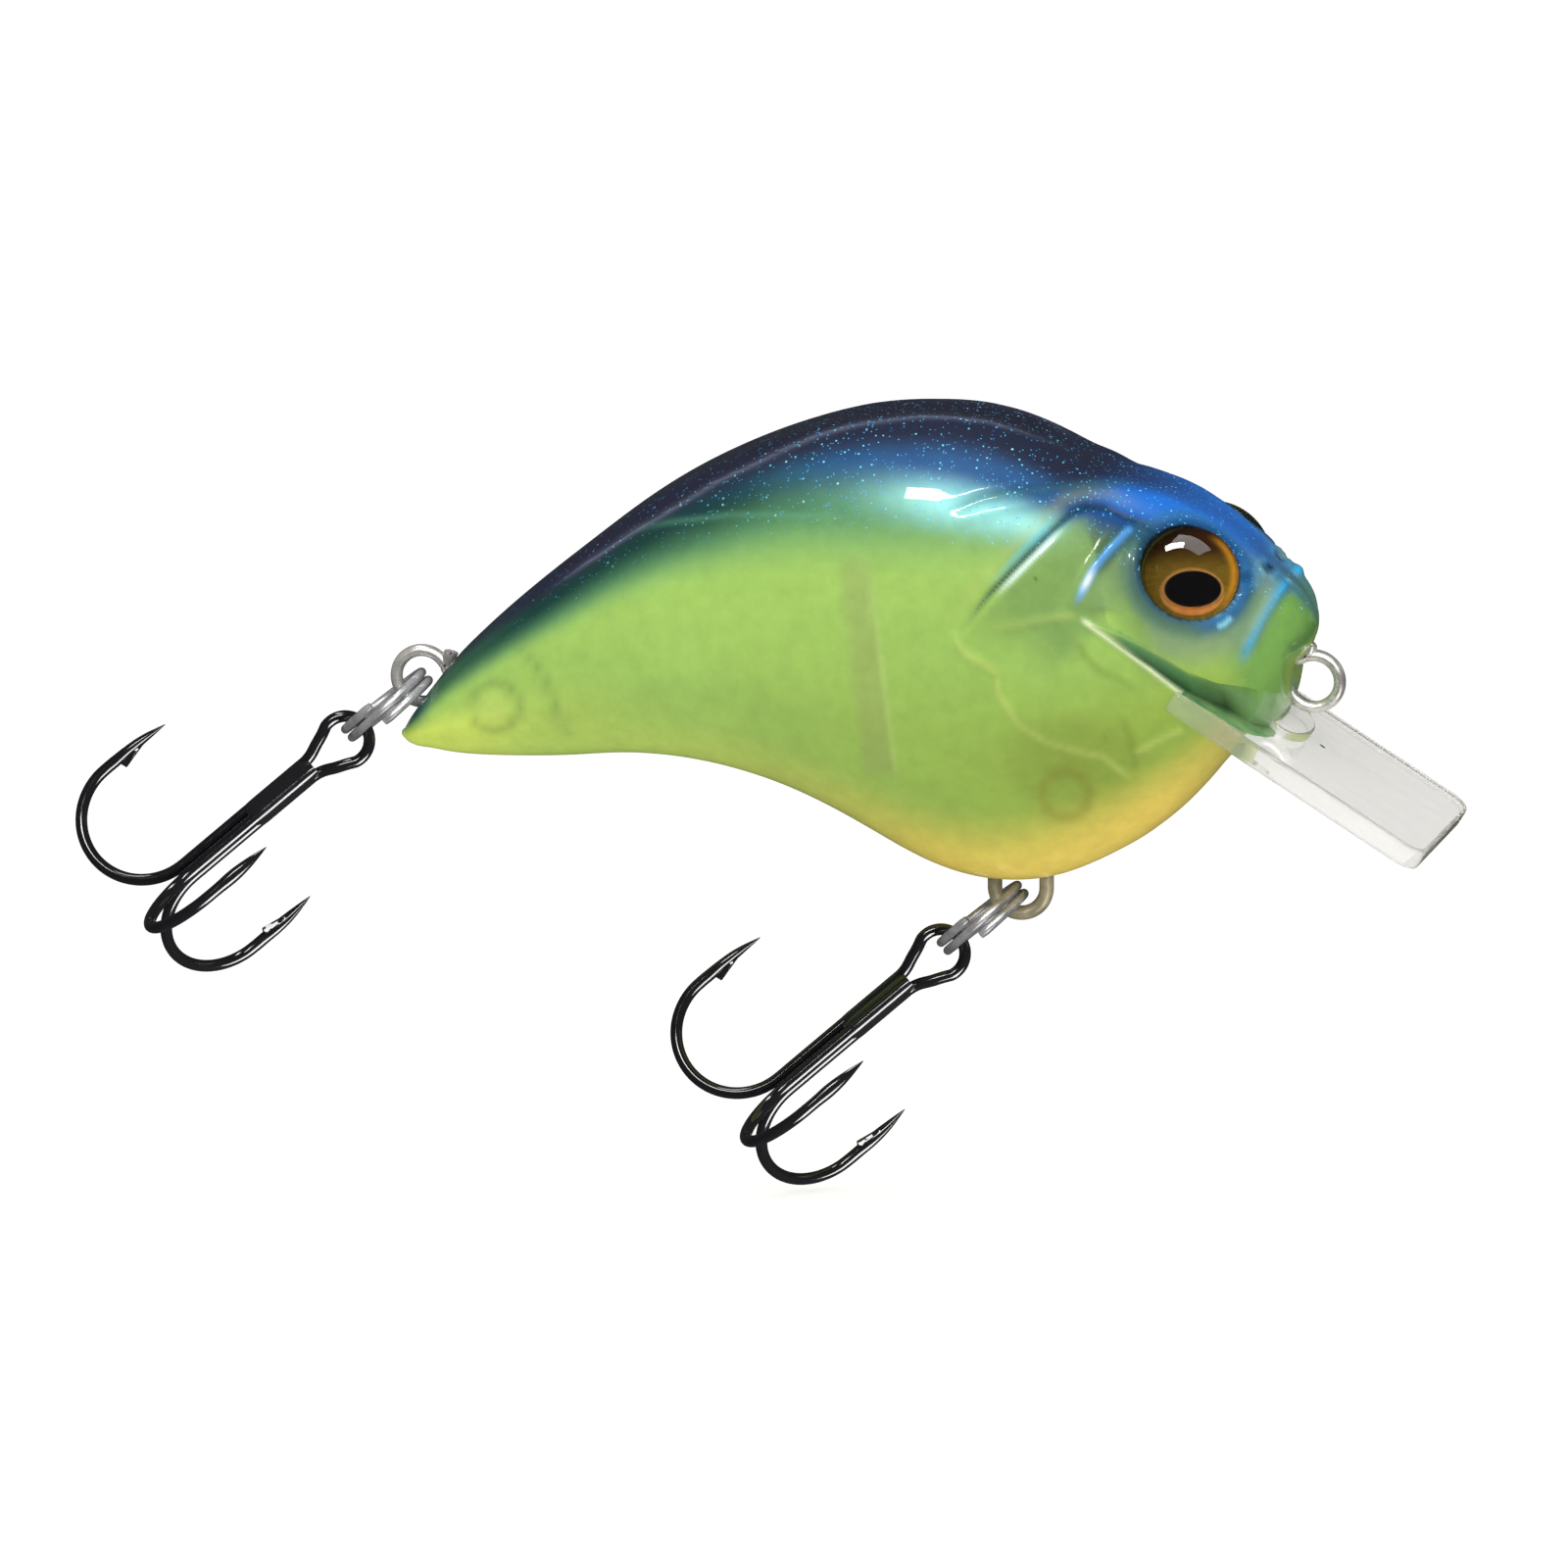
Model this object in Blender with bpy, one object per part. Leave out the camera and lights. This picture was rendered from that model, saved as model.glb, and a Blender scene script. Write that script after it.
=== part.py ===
"""Square-billed crankbait lure: a hollow body in two moulded halves, a clear diving lip, three wire
eyes, two split rings, two treble hooks, doll eyes, ballast and rattle balls.

Origin: centre of the line-tie eye. +X runs towards the nose and the lip, +Y is the lure's left side,
+Z is up. Everything is in metres; the tables below are in millimetres and scaled by MM.
"""
import math

import bmesh
import bpy
import numpy as np
from mathutils import Matrix, Vector

MM = 0.001

# ---------------------------------------------------------------- body
SEAM_GAP = 0.30            # gap between the two halves, shared equally
WALL = 1.4                 # shell wall
DORSAL_FLAT = 2.3          # half-width of the flat along the back
# x, top z, bottom z, half-width, z of the widest point, squareness above, squareness below
BODY = [
    (-59.90, -5.15, -5.85, 1.40, -5.50, 2.10, 2.00),
    (-59.50, -4.50, -6.20, 1.68, -5.40, 2.10, 2.00),
    (-58.60, -3.40, -6.40, 2.30, -5.10, 2.10, 2.00),
    (-57.50, -1.75, -6.58, 2.72, -4.95, 2.11, 2.00),
    (-56.50, -0.45, -6.70, 3.10, -4.56, 2.11, 2.00),
    (-55.30, 0.80, -6.79, 3.37, -4.09, 2.12, 2.00),
    (-53.10, 2.86, -6.76, 3.88, -3.24, 2.12, 2.00),
    (-50.60, 5.01, -6.69, 4.52, -2.29, 2.13, 2.00),
    (-47.80, 7.25, -6.49, 5.25, -1.24, 2.14, 2.00),
    (-45.00, 9.51, -6.19, 5.90, -0.45, 2.15, 2.00),
    (-42.00, 11.61, -6.29, 6.60, 0.40, 2.16, 2.00),
    (-39.10, 13.25, -6.69, 7.23, 0.88, 2.17, 2.00),
    (-36.20, 14.60, -7.39, 7.86, 1.37, 2.18, 2.00),
    (-33.60, 15.60, -8.29, 8.31, 1.43, 2.19, 2.00),
    (-31.00, 16.35, -9.49, 8.75, 1.46, 2.20, 2.00),
    (-28.40, 16.85, -10.89, 9.01, 1.50, 2.20, 2.00),
    (-25.80, 17.04, -12.34, 9.26, 1.42, 2.20, 2.00),
    (-23.30, 17.10, -13.29, 9.34, 1.32, 2.20, 2.00),
    (-20.70, 16.79, -13.75, 9.42, 1.23, 2.20, 2.00),
    (-18.10, 16.04, -13.65, 9.40, 1.47, 2.20, 2.00),
    (-15.80, 14.94, -13.05, 9.37, 1.79, 2.17, 2.00),
    (-13.60, 13.83, -12.00, 9.22, 2.03, 2.15, 2.00),
    (-11.70, 13.24, -11.00, 9.10, 2.20, 2.12, 2.00),
    (-9.80, 12.69, -9.60, 8.90, 1.77, 2.10, 2.05),
    (-8.20, 12.04, -8.20, 8.65, 1.40, 2.10, 2.10),
    (-6.80, 11.23, -6.70, 8.30, 0.90, 2.10, 2.10),
    (-5.60, 10.43, -5.25, 7.80, 0.40, 2.10, 2.10),
    (-4.40, 9.48, -4.00, 7.10, 0.30, 2.10, 2.10),
    (-3.20, 8.36, -3.55, 6.20, 0.60, 2.10, 2.20),
    (-2.20, 7.45, -2.95, 5.40, 0.90, 2.10, 2.30),
    (-1.75, 7.05, -1.55, 4.95, 1.80, 2.10, 2.30),
    (-1.38, 6.85, -1.20, 4.58, 2.20, 2.10, 2.20),
    (-1.30, 6.78, 0.80, 4.50, 3.00, 2.10, 2.20),
    (-0.70, 6.21, 2.10, 3.80, 4.20, 2.10, 2.10),
    (-0.15, 5.75, 3.10, 3.00, 4.50, 2.10, 2.00),
    (0.10, 5.00, 3.60, 2.10, 4.30, 2.10, 2.00),
]
ARC_STEPS = 8              # facets from the back down to the widest point, and again to the belly

# hollow inside each half; the bulkhead, chamber floor and chamber roof are what is left between
CAVITY_REAR = (-50.4, -30.1)
CAVITY_FRONT = (-28.7, -15.5)
CHAMBER_FLOOR = (-6.00, -4.90)      # z range of the rib under the rattle balls
CHAMBER_ROOF = (0.10, 1.10)         # z range of the rib over them

# ---------------------------------------------------------------- diving lip
LIP_SLOPE = 0.625          # drop per mm of reach
LIP_AT_ZERO = -3.95        # z of its top face at x = 0
LIP_THICK = 1.5
LIP_HALF = 8.8
LIP_SHOULDER_X = -7.5      # where the full width starts
LIP_TIP_X = 8.80
LIP_CORNER = 1.6
LIP_NECK_HALF = 4.0
LIP_NECK_LONG = 2.4
LIP_TEE_HALF = 5.6
LIP_TEE_LONG = 2.6
LIP_CLEAR = 0.2
PAD_HALF = 3.7             # raised pad on the lip's root, under the chin
PAD_HIGH = 0.55
PAD_FRONT_X = -0.9
PAD_BACK_X = -3.3

# ---------------------------------------------------------------- wire eyes
EYE_WIRE = 0.40            # wire radius
EYE_LOOP = 1.70            # centre-line radius of an outer loop
EYE_INNER = 1.45           # centre-line radius of an inner loop
EYE_HALF_WAIST = 0.78
EYE_FILLET = 0.90
TIE_INNER = (-5.3, 2.45)
TAIL_LOOP = (-58.7, -1.8)
TAIL_INNER = (-53.8, -3.6)
BELLY_LOOP = (-19.25, -14.25)
BELLY_INNER = (-19.25, -9.2)
BELLY_WIRE = 0.48
GROOVE_CLEAR = 0.28
POST_RADIUS = 0.70

# ---------------------------------------------------------------- split rings and trebles
TRAIL = math.radians(40.9)          # how far below level the hooks trail
LEAN = math.radians(15.4)           # how far each treble leans to the right round its ring
RING_RADIUS = 3.08
RING_WIRE = 0.30
RING_PITCH = 0.68
RING_STEPS = 22
TAIL_REACH = 3.08                   # wire eye's centre to split ring's centre
BELLY_REACH = 3.30
RING_TO_HOOK = 3.54
HOOK_WIRE = 0.39
HOOK_STRAND = 0.60                  # strand centre from the shank's axis
HOOK_EYE = 1.56
HOOK_BEND = 4.15
HOOK_BEND_AT = 13.2
HOOK_TIP = (8.3, 8.65)
HOOK_ANGLES = (-17.5, 102.5, 222.5)

# ---------------------------------------------------------------- doll eyes, ballast, rattles
DOLL_EYE = (-6.75, 6.25, 8.05)      # on the body's surface
DOLL_EYE_NORMAL = (0.22, 0.83, 0.50)
DOLL_EYE_RADIUS = 3.0
DOLL_SOCKET = 1.15                  # socket depth
FOIL_THICK = 0.35
DOME_HIGH = 1.25
SLUG = (-11.2, -4.2)
SLUG_RADIUS = 3.0
SLUG_HALF = 4.4
SHOT = (-14.6, -9.4)
SHOT_RADIUS = 1.45
SHOT_CLEAR = 0.3
BALL_Z = -2.4
BALL_RADIUS = 2.1
BALL_REAR_X = -24.0
BALL_FRONT_X = -19.5

PAINT_RIGHT = (0.45, 0.62, 0.24, 1.0)
PAINT_LEFT = (0.42, 0.60, 0.26, 1.0)


# ---------------------------------------------------------------- helpers
def clear_scene():
    for old in list(bpy.data.objects):
        bpy.data.objects.remove(old, do_unlink=True)


def material(name, colour, metallic=0.0, roughness=0.4):
    made = bpy.data.materials.new(name)
    made.use_nodes = True
    shader = made.node_tree.nodes["Principled BSDF"]
    shader.inputs["Base Color"].default_value = colour
    shader.inputs["Metallic"].default_value = metallic
    shader.inputs["Roughness"].default_value = roughness
    return made


def solid(name, points, faces, colour=None, metallic=0.0, roughness=0.4, origin=None):
    """A closed mesh object from points in millimetres, with its origin at the given point."""
    base = Vector(origin) * MM if origin else Vector((0.0, 0.0, 0.0))
    mesh = bpy.data.meshes.new(name)
    mesh.from_pydata([tuple(Vector(p) * MM - base) for p in points], [], faces)
    shape = bmesh.new()
    shape.from_mesh(mesh)
    bmesh.ops.recalc_face_normals(shape, faces=shape.faces)
    shape.to_mesh(mesh)
    shape.free()
    made = bpy.data.objects.new(name, mesh)
    made.location = base
    bpy.context.collection.objects.link(made)
    if colour:
        mesh.materials.append(material(name + "_mat", colour, metallic, roughness))
    else:
        made.hide_render = True
        made.display_type = "WIRE"
    return made


def carve(target, cutter, operation="DIFFERENCE"):
    step = target.modifiers.new(operation.lower() + "_" + cutter.name, "BOOLEAN")
    step.operation = operation
    step.solver = "EXACT"
    step.object = cutter


def stack(sections):
    """Joins equal-length closed outlines into one closed solid."""
    count = len(sections[0])
    points = [p for outline in sections for p in outline]
    faces = [tuple(range(count)), tuple(range((len(sections) - 1) * count, len(sections) * count))]
    for i in range(len(sections) - 1):
        for j in range(count):
            k = (j + 1) % count
            faces.append((i * count + j, i * count + k, (i + 1) * count + k, (i + 1) * count + j))
    return points, faces


def box(name, low, high):
    outline = [(low[1], low[2]), (high[1], low[2]), (high[1], high[2]), (low[1], high[2])]
    return solid(name, *stack([[(x, y, z) for y, z in outline] for x in (low[0], high[0])]))


def prism_y(name, outline, low, high):
    """An outline in x and z, extruded along y."""
    return solid(name, *stack([[(x, y, z) for x, z in outline] for y in (low, high)]))


def circle(centre, radius, steps, start=0.0):
    turn = 2 * math.pi / steps
    return [
        (centre[0] + radius * math.cos(start + turn * i), centre[1] + radius * math.sin(start + turn * i))
        for i in range(steps)
    ]


def tube(path, radius, sides, closed=False, radii=None):
    """Points and faces of a round wire along a path, with frames carried without twist."""
    path = [Vector(p) for p in path]
    count = len(path)
    tangents = []
    for i in range(count):
        if closed:
            step = path[(i + 1) % count] - path[i - 1]
        else:
            step = path[min(i + 1, count - 1)] - path[max(i - 1, 0)]
        tangents.append(step.normalized())
    side = Vector((0.0, 1.0, 0.0))
    if abs(tangents[0].dot(side)) > 0.9:
        side = Vector((0.0, 0.0, 1.0))
    points = []
    for i in range(count):
        side = (side - tangents[i] * side.dot(tangents[i])).normalized()
        other = tangents[i].cross(side)
        size = radii[i] if radii else radius
        for j in range(sides):
            angle = 2 * math.pi * (j + 0.5) / sides
            points.append(path[i] + (side * math.cos(angle) + other * math.sin(angle)) * size)
    faces = []
    for i in range(count if closed else count - 1):
        k = (i + 1) % count
        for j in range(sides):
            m = (j + 1) % sides
            faces.append((i * sides + j, i * sides + m, k * sides + m, k * sides + j))
    if not closed:
        faces.append(tuple(range(sides)))
        faces.append(tuple(range((count - 1) * sides, count * sides)))
    return points, faces


def ball(name, centre, radius, rings, sides, colour=None):
    centre = Vector(centre)
    points = [centre + Vector((0, 0, radius))]
    for i in range(1, rings):
        lift = math.pi * i / rings
        for j in range(sides):
            turn = 2 * math.pi * j / sides
            away = Vector((math.cos(turn) * math.sin(lift), math.sin(turn) * math.sin(lift), math.cos(lift)))
            points.append(centre + away * radius)
    points.append(centre - Vector((0, 0, radius)))
    faces = [(0, 1 + j, 1 + (j + 1) % sides) for j in range(sides)]
    for i in range(rings - 2):
        a = 1 + i * sides
        b = a + sides
        for j in range(sides):
            k = (j + 1) % sides
            faces.append((a + j, b + j, b + k, a + k))
    last = len(points) - 1
    a = 1 + (rings - 2) * sides
    faces += [(last, a + (j + 1) % sides, a + j) for j in range(sides)]
    if colour:
        return solid(name, points, faces, colour, 1.0, 0.25, origin=centre)
    return solid(name, points, faces)


# ---------------------------------------------------------------- body
def half_outline(x, top, bottom, wide, middle, above, below, side, inset=0.0, steps=ARC_STEPS):
    """Half of a cross-section, from the seam on the back round to the seam on the belly."""
    seam = SEAM_GAP / 2 if inset == 0.0 else -0.5
    top = top - inset
    bottom = bottom + inset
    wide = wide - inset
    flat = min(DORSAL_FLAT, 0.45 * wide)
    outline = [(seam, top)]
    for i in range(steps + 1):
        angle = 0.5 * math.pi * i / steps
        y = flat + (wide - flat) * math.sin(angle) ** (2 / above)
        outline.append((y, middle + (top - middle) * math.cos(angle) ** (2 / above)))
    for i in range(1, steps):
        angle = 0.5 * math.pi * i / steps
        y = wide * math.cos(angle) ** (2 / below)
        outline.append((y, middle - (middle - bottom) * math.sin(angle) ** (2 / below)))
    outline.append((seam, bottom))
    return [(x, side * y, z) for y, z in outline]


def body_at(x):
    """The body's section values at any x."""
    stations = [row[0] for row in BODY]
    return [float(np.interp(x, stations, [row[i] for row in BODY])) for i in range(1, 7)]


def cavity(name, ends, side):
    inside = [row[0] for row in BODY if ends[0] + 0.6 < row[0] < ends[1] - 0.6]
    sections = []
    for x in [ends[0]] + inside[::2] + [ends[1]]:
        sections.append(half_outline(x, *body_at(x), side, inset=WALL, steps=5))
    return solid(name, *stack(sections))


def dog_bone(first, first_radius, second, second_radius, steps):
    """Closed centre-line, in x and z: two loops joined by two close, parallel strands."""
    start = Vector((first[0], 0.0, first[1]))
    along = Vector((second[0] - first[0], 0.0, second[1] - first[1]))
    reach = along.length
    along.normalize()
    across = Vector((-along.z, 0.0, along.x))
    path = []
    for origin, sign, radius in ((start, 1.0, first_radius), (start + along * reach, -1.0, second_radius)):
        spread = EYE_HALF_WAIST + EYE_FILLET
        tuck = math.sqrt((radius + EYE_FILLET) ** 2 - spread ** 2)
        meet = math.atan2(spread, tuck)
        local = [(tuck, -EYE_HALF_WAIST)]
        middle = (tuck, -spread)
        aim = 0.5 * (0.5 * math.pi + math.atan2(spread, -tuck))
        local.append((middle[0] + EYE_FILLET * math.cos(aim), middle[1] + EYE_FILLET * math.sin(aim)))
        for i in range(steps + 1):
            angle = -meet - (2 * math.pi - 2 * meet) * i / steps
            local.append((radius * math.cos(angle), radius * math.sin(angle)))
        local.append((local[1][0], -local[1][1]))
        local.append((tuck, EYE_HALF_WAIST))
        path += [origin + along * (sign * a) + across * (sign * b) for a, b in local]
    return path


def long_link(first, second, radius, steps):
    """Closed centre-line, in x and z: a straight-sided link standing on two half circles."""
    path = []
    for centre, start in ((first, math.pi), (second, 0.0)):
        for i in range(steps + 1):
            angle = start + math.pi * i / steps
            path.append((centre[0] + radius * math.cos(angle), 0.0, centre[1] + radius * math.sin(angle)))
    return path


def groove(name, path, half):
    """Square-sectioned channel round a wire's centre-line, clear of the wire."""
    points, faces = tube(path, half * math.sqrt(2), 4, closed=True)
    return solid(name, points, faces)


# ---------------------------------------------------------------- lip
LIP_DOWN = Vector((1.0, 0.0, -LIP_SLOPE)).normalized()
LIP_UP = Vector((LIP_SLOPE, 0.0, 1.0)).normalized()


def lip_outline(grow, tip_grow=0.0):
    """Lip outline as (reach, y): a square bill, a narrow neck and a tee that the body holds."""
    per = LIP_DOWN.x
    tip = (LIP_TIP_X - LIP_SHOULDER_X) / per + tip_grow
    wide = LIP_HALF + grow
    corner = LIP_CORNER
    neck = LIP_NECK_HALF + grow
    tee = LIP_TEE_HALF + grow
    back = -LIP_NECK_LONG - LIP_TEE_LONG - grow
    half = []
    for i in range(6):
        angle = 0.5 * math.pi * i / 5
        half.append((tip - corner + corner * math.cos(angle), wide - corner + corner * math.sin(angle)))
    half += [(-grow, wide), (-grow, neck), (-LIP_NECK_LONG + grow, neck)]
    half += [(-LIP_NECK_LONG + grow, tee), (back, tee)]
    return half + [(a, -b) for a, b in reversed(half)]


def lip_point(reach, y, lift):
    start = Vector((LIP_SHOULDER_X, 0.0, LIP_AT_ZERO - LIP_SLOPE * LIP_SHOULDER_X))
    return start + LIP_DOWN * reach + LIP_UP * lift + Vector((0.0, y, 0.0))


def plate(name, outline, low, high, **look):
    sections = [[lip_point(a, b, lift) for a, b in outline] for lift in (low, high)]
    return solid(name, *stack(sections), **look)


def build_lip():
    lip = plate("diving_lip", lip_outline(0.0), -LIP_THICK, 0.0, colour=(0.82, 0.84, 0.84, 1.0), roughness=0.08)
    per = LIP_DOWN.x
    front = (PAD_FRONT_X - LIP_SHOULDER_X) / per
    back = (PAD_BACK_X - LIP_SHOULDER_X) / per
    outline = []
    for i in range(9):
        angle = -0.5 * math.pi + math.pi * i / 8
        outline.append((front - 1.2 + 1.2 * math.cos(angle), PAD_HALF * math.sin(angle)))
    outline += [(back, PAD_HALF), (back, -PAD_HALF)]
    carve(lip, plate("lip_pad", outline, -0.5, PAD_HIGH), "UNION")
    return lip


def chin_cutter(side):
    """The hollow under the cheek that narrows the head to a ridge where it meets the lip."""
    rows = [
        # x, inner y and z at the ledge, inner y and z at the cheek's lower edge
        (-14.2, 9.40, 5.70, 9.50, 5.85),
        (-11.0, 8.55, 3.45, 9.15, 4.50),
        (-9.1, 8.05, 2.15, 8.90, 3.45),
        (-6.7, 6.90, 0.20, 8.30, 1.90),
        (-5.0, 3.10, -0.85, 7.20, 1.10),
        (-3.5, 2.30, -1.90, 6.00, 0.70),
        (-1.8, 1.40, -2.95, 4.80, 0.30),
        (1.0, 0.90, -4.80, 4.00, -0.20),
    ]
    sections = []
    for x, low_y, low_z, high_y, high_z in rows:
        outline = [(low_y, low_z), (high_y, high_z), (11.0, high_z), (11.0, low_z)]
        sections.append([(x, side * y, z) for y, z in outline])
    return solid("cheek_hollow_" + ("left" if side > 0 else "right"), *stack(sections))


# ---------------------------------------------------------------- doll eyes
def eye_frame(side):
    centre = Vector((DOLL_EYE[0], side * DOLL_EYE[1], DOLL_EYE[2]))
    out = Vector((DOLL_EYE_NORMAL[0], side * DOLL_EYE_NORMAL[1], DOLL_EYE_NORMAL[2])).normalized()
    level = Vector((0.0, 0.0, 1.0)).cross(out).normalized()
    return centre, out, level, out.cross(level)


def turned(name, side, profile, sides, **look):
    """A solid of revolution about the eye's axis from (radius, height) rows."""
    centre, out, level, upward = eye_frame(side)
    sections = []
    for radius, height in profile:
        ring = []
        for j in range(sides):
            angle = 2 * math.pi * (j + 0.35) / sides
            ring.append(centre + out * height + (level * math.cos(angle) + upward * math.sin(angle)) * radius)
        sections.append(ring)
    return solid(name, *stack(sections), **look)


def build_eye(side, tag):
    floor = -DOLL_SOCKET + 0.05
    turned(tag + "_eye_foil", side, [(2.75, floor), (2.75, floor + FOIL_THICK)], 24,
           colour=(0.62, 0.50, 0.26, 1.0), metallic=0.6, roughness=0.3)
    base = floor + FOIL_THICK + 0.05
    cap = DOLL_EYE_RADIUS - 0.1
    rise = DOME_HIGH + 0.35
    round_radius = (cap ** 2 + rise ** 2) / (2 * rise)
    profile = [(cap, base), (cap, base + 0.25)]
    top = math.asin(cap / round_radius)
    for i in range(1, 6):
        angle = top * (1 - i / 5.4)
        height = base + 0.25 + round_radius * (math.cos(angle) - math.cos(top))
        profile.append((round_radius * math.sin(angle), height))
    turned(tag + "_eye_dome", side, profile, 24, colour=(0.30, 0.26, 0.14, 1.0), roughness=0.05)


# ---------------------------------------------------------------- shells
def build_shell(side, tag, paths, colour):
    sections = [half_outline(row[0], *row[1:], side) for row in BODY]
    shell = solid(tag + "_body_shell", *stack(sections), colour=colour, roughness=0.2)

    socket = [(DOLL_EYE_RADIUS + 0.12, -DOLL_SOCKET), (DOLL_EYE_RADIUS + 0.12, 4.0)]
    carve(shell, turned(tag + "_eye_socket", side, socket, 24))
    rear = cavity(tag + "_cavity_rear", CAVITY_REAR, side)
    front = cavity(tag + "_cavity_front", CAVITY_FRONT, side)
    ends = (CAVITY_FRONT[0] - 1.0, CAVITY_FRONT[1] + 1.0)
    reach = 12.0
    near = SEAM_GAP / 2
    for label, span in (("floor", CHAMBER_FLOOR), ("roof", CHAMBER_ROOF)):
        low_y, high_y = sorted((side * near, side * reach))
        carve(front, box(tag + "_chamber_" + label, (ends[0], low_y, span[0]), (ends[1], high_y, span[1])))
    low_y, high_y = sorted((side * near, side * reach))
    post = prism_y(tag + "_belly_post", circle(BELLY_INNER, POST_RADIUS, 12), low_y, high_y)
    carve(front, post)
    carve(shell, rear)
    carve(shell, front)

    for label, path, half in paths:
        carve(shell, groove(tag + "_" + label + "_groove", path, half))
    carve(shell, chin_cutter(side))
    carve(shell, plate(tag + "_lip_slot", lip_outline(LIP_CLEAR, 4.0), -LIP_THICK - LIP_CLEAR, LIP_CLEAR))
    front_pad = (PAD_FRONT_X + 1.0 - LIP_SHOULDER_X) / LIP_DOWN.x
    back_pad = (PAD_BACK_X - LIP_SHOULDER_X) / LIP_DOWN.x - LIP_CLEAR
    pad_half = LIP_HALF + 1.0
    pad = [(back_pad, -pad_half), (front_pad, -pad_half), (front_pad, pad_half), (back_pad, pad_half)]
    carve(shell, plate(tag + "_pad_slot", pad, -0.7, PAD_HIGH + 0.27))
    low_y, high_y = sorted((-side * 1.0, side * (SLUG_HALF + 0.3)))
    carve(shell, prism_y(tag + "_slug_bore", circle(SLUG, SLUG_RADIUS + 0.3, 20), low_y, high_y))
    carve(shell, ball(tag + "_shot_pocket", (SHOT[0], 0.0, SHOT[1]), SHOT_RADIUS + SHOT_CLEAR, 6, 12))
    return shell


# ---------------------------------------------------------------- rings and hooks
CHAIN = Vector((-math.cos(TRAIL), 0.0, -math.sin(TRAIL)))
ACROSS = Vector((-math.sin(TRAIL), 0.0, math.cos(TRAIL)))
TOWARD = Vector((0.0, -1.0, 0.0))
SHANK = CHAIN * math.cos(LEAN) + TOWARD * math.sin(LEAN)
FLANK = TOWARD * math.cos(LEAN) - CHAIN * math.sin(LEAN)


def build_ring(name, loop, reach):
    """Two-turn split ring through a wire eye, lying across the trailing direction."""
    pivot = Vector((loop[0], 0.0, loop[1]))
    centre = pivot + CHAIN * reach
    path = []
    total = 2 * RING_STEPS
    for i in range(total + 1):
        turn = 4 * math.pi * i / total + 0.5 * math.pi
        lift = RING_PITCH * (2.0 * i / total - 1.0)
        path.append(centre + (CHAIN * math.cos(turn) + TOWARD * math.sin(turn)) * RING_RADIUS + ACROSS * lift)
    points, faces = tube(path, RING_WIRE, 6)
    return solid(name, points, faces, (0.42, 0.40, 0.38, 1.0), 1.0, 0.25, origin=pivot)


def hook_side(angle, start):
    """Centre-line and radii of one hook from the shank to the point, as (along, out)."""
    rows = [(start, HOOK_STRAND, HOOK_WIRE), (8.0, HOOK_STRAND, HOOK_WIRE)]
    for i in range(13):
        turn = math.pi * i / 12
        along = HOOK_BEND_AT + HOOK_BEND * math.sin(turn)
        out = HOOK_STRAND + HOOK_BEND * (1 - math.cos(turn))
        rows.append((along, out, HOOK_WIRE))
    rows.append((11.2, 8.88, HOOK_WIRE))
    rows.append((9.9, 8.84, 0.30))
    rows.append((HOOK_TIP[0], HOOK_TIP[1], 0.05))
    away = ACROSS * math.cos(math.radians(angle)) + FLANK * math.sin(math.radians(angle))
    return [(SHANK * a + away * r, size) for a, r, size in rows], away


def barb(name, eye, away):
    """Small wedge cut up from the wire just behind the point."""
    flank = SHANK.cross(away)
    points = []
    for a, r, half in ((9.9, 8.64, 0.16), (11.6, 8.70, 0.16), (11.5, 7.95, 0.05)):
        for sign in (-1, 1):
            points.append(eye + SHANK * a + away * r + flank * (half * sign))
    return solid(name, points, [(0, 2, 4), (1, 5, 3), (0, 1, 3, 2), (2, 3, 5, 4), (4, 5, 1, 0)])


def build_treble(tag, loop, reach):
    ring_centre = Vector((loop[0], 0.0, loop[1])) + CHAIN * reach
    eye = ring_centre + SHANK * RING_TO_HOOK
    first, first_away = hook_side(HOOK_ANGLES[0], 3.4)
    last, last_away = hook_side(HOOK_ANGLES[2], 3.4)

    bend = []
    for along, out, back in ((2.35, 0.66, -0.10), (1.62, 1.02, -0.03)):
        bend.append(SHANK * along + ACROSS * out + FLANK * back)
    for i in range(11):
        turn = math.radians(50.0 + 26.0 * i)
        bend.append(SHANK * (HOOK_EYE * math.cos(turn)) + ACROSS * (HOOK_EYE * math.sin(turn)))
    for along, out, back in ((1.62, -1.00, -0.06), (2.35, -0.58, -0.25)):
        bend.append(SHANK * along + ACROSS * out + FLANK * back)
    path = [p for p, _ in reversed(first)] + bend + [p for p, _ in last]
    sizes = [s for _, s in reversed(first)] + [HOOK_WIRE] * len(bend) + [s for _, s in last]
    points, faces = tube([eye + p for p in path], HOOK_WIRE, 8, radii=sizes)
    double = solid(tag + "_treble_double_hook", points, faces, (0.05, 0.05, 0.055, 1.0), 1.0, 0.15, origin=ring_centre)
    carve(double, barb(tag + "_barb_upper", eye, first_away), "UNION")
    carve(double, barb(tag + "_barb_lower", eye, last_away), "UNION")

    single, single_away = hook_side(HOOK_ANGLES[1], 2.9)
    points, faces = tube([eye + p for p, _ in single], HOOK_WIRE, 8, radii=[s for _, s in single])
    third = solid(tag + "_treble_single_hook", points, faces, (0.06, 0.06, 0.065, 1.0), 1.0, 0.15, origin=ring_centre)
    carve(third, barb(tag + "_barb_side", eye, single_away), "UNION")


# ---------------------------------------------------------------- the lure
clear_scene()

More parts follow.
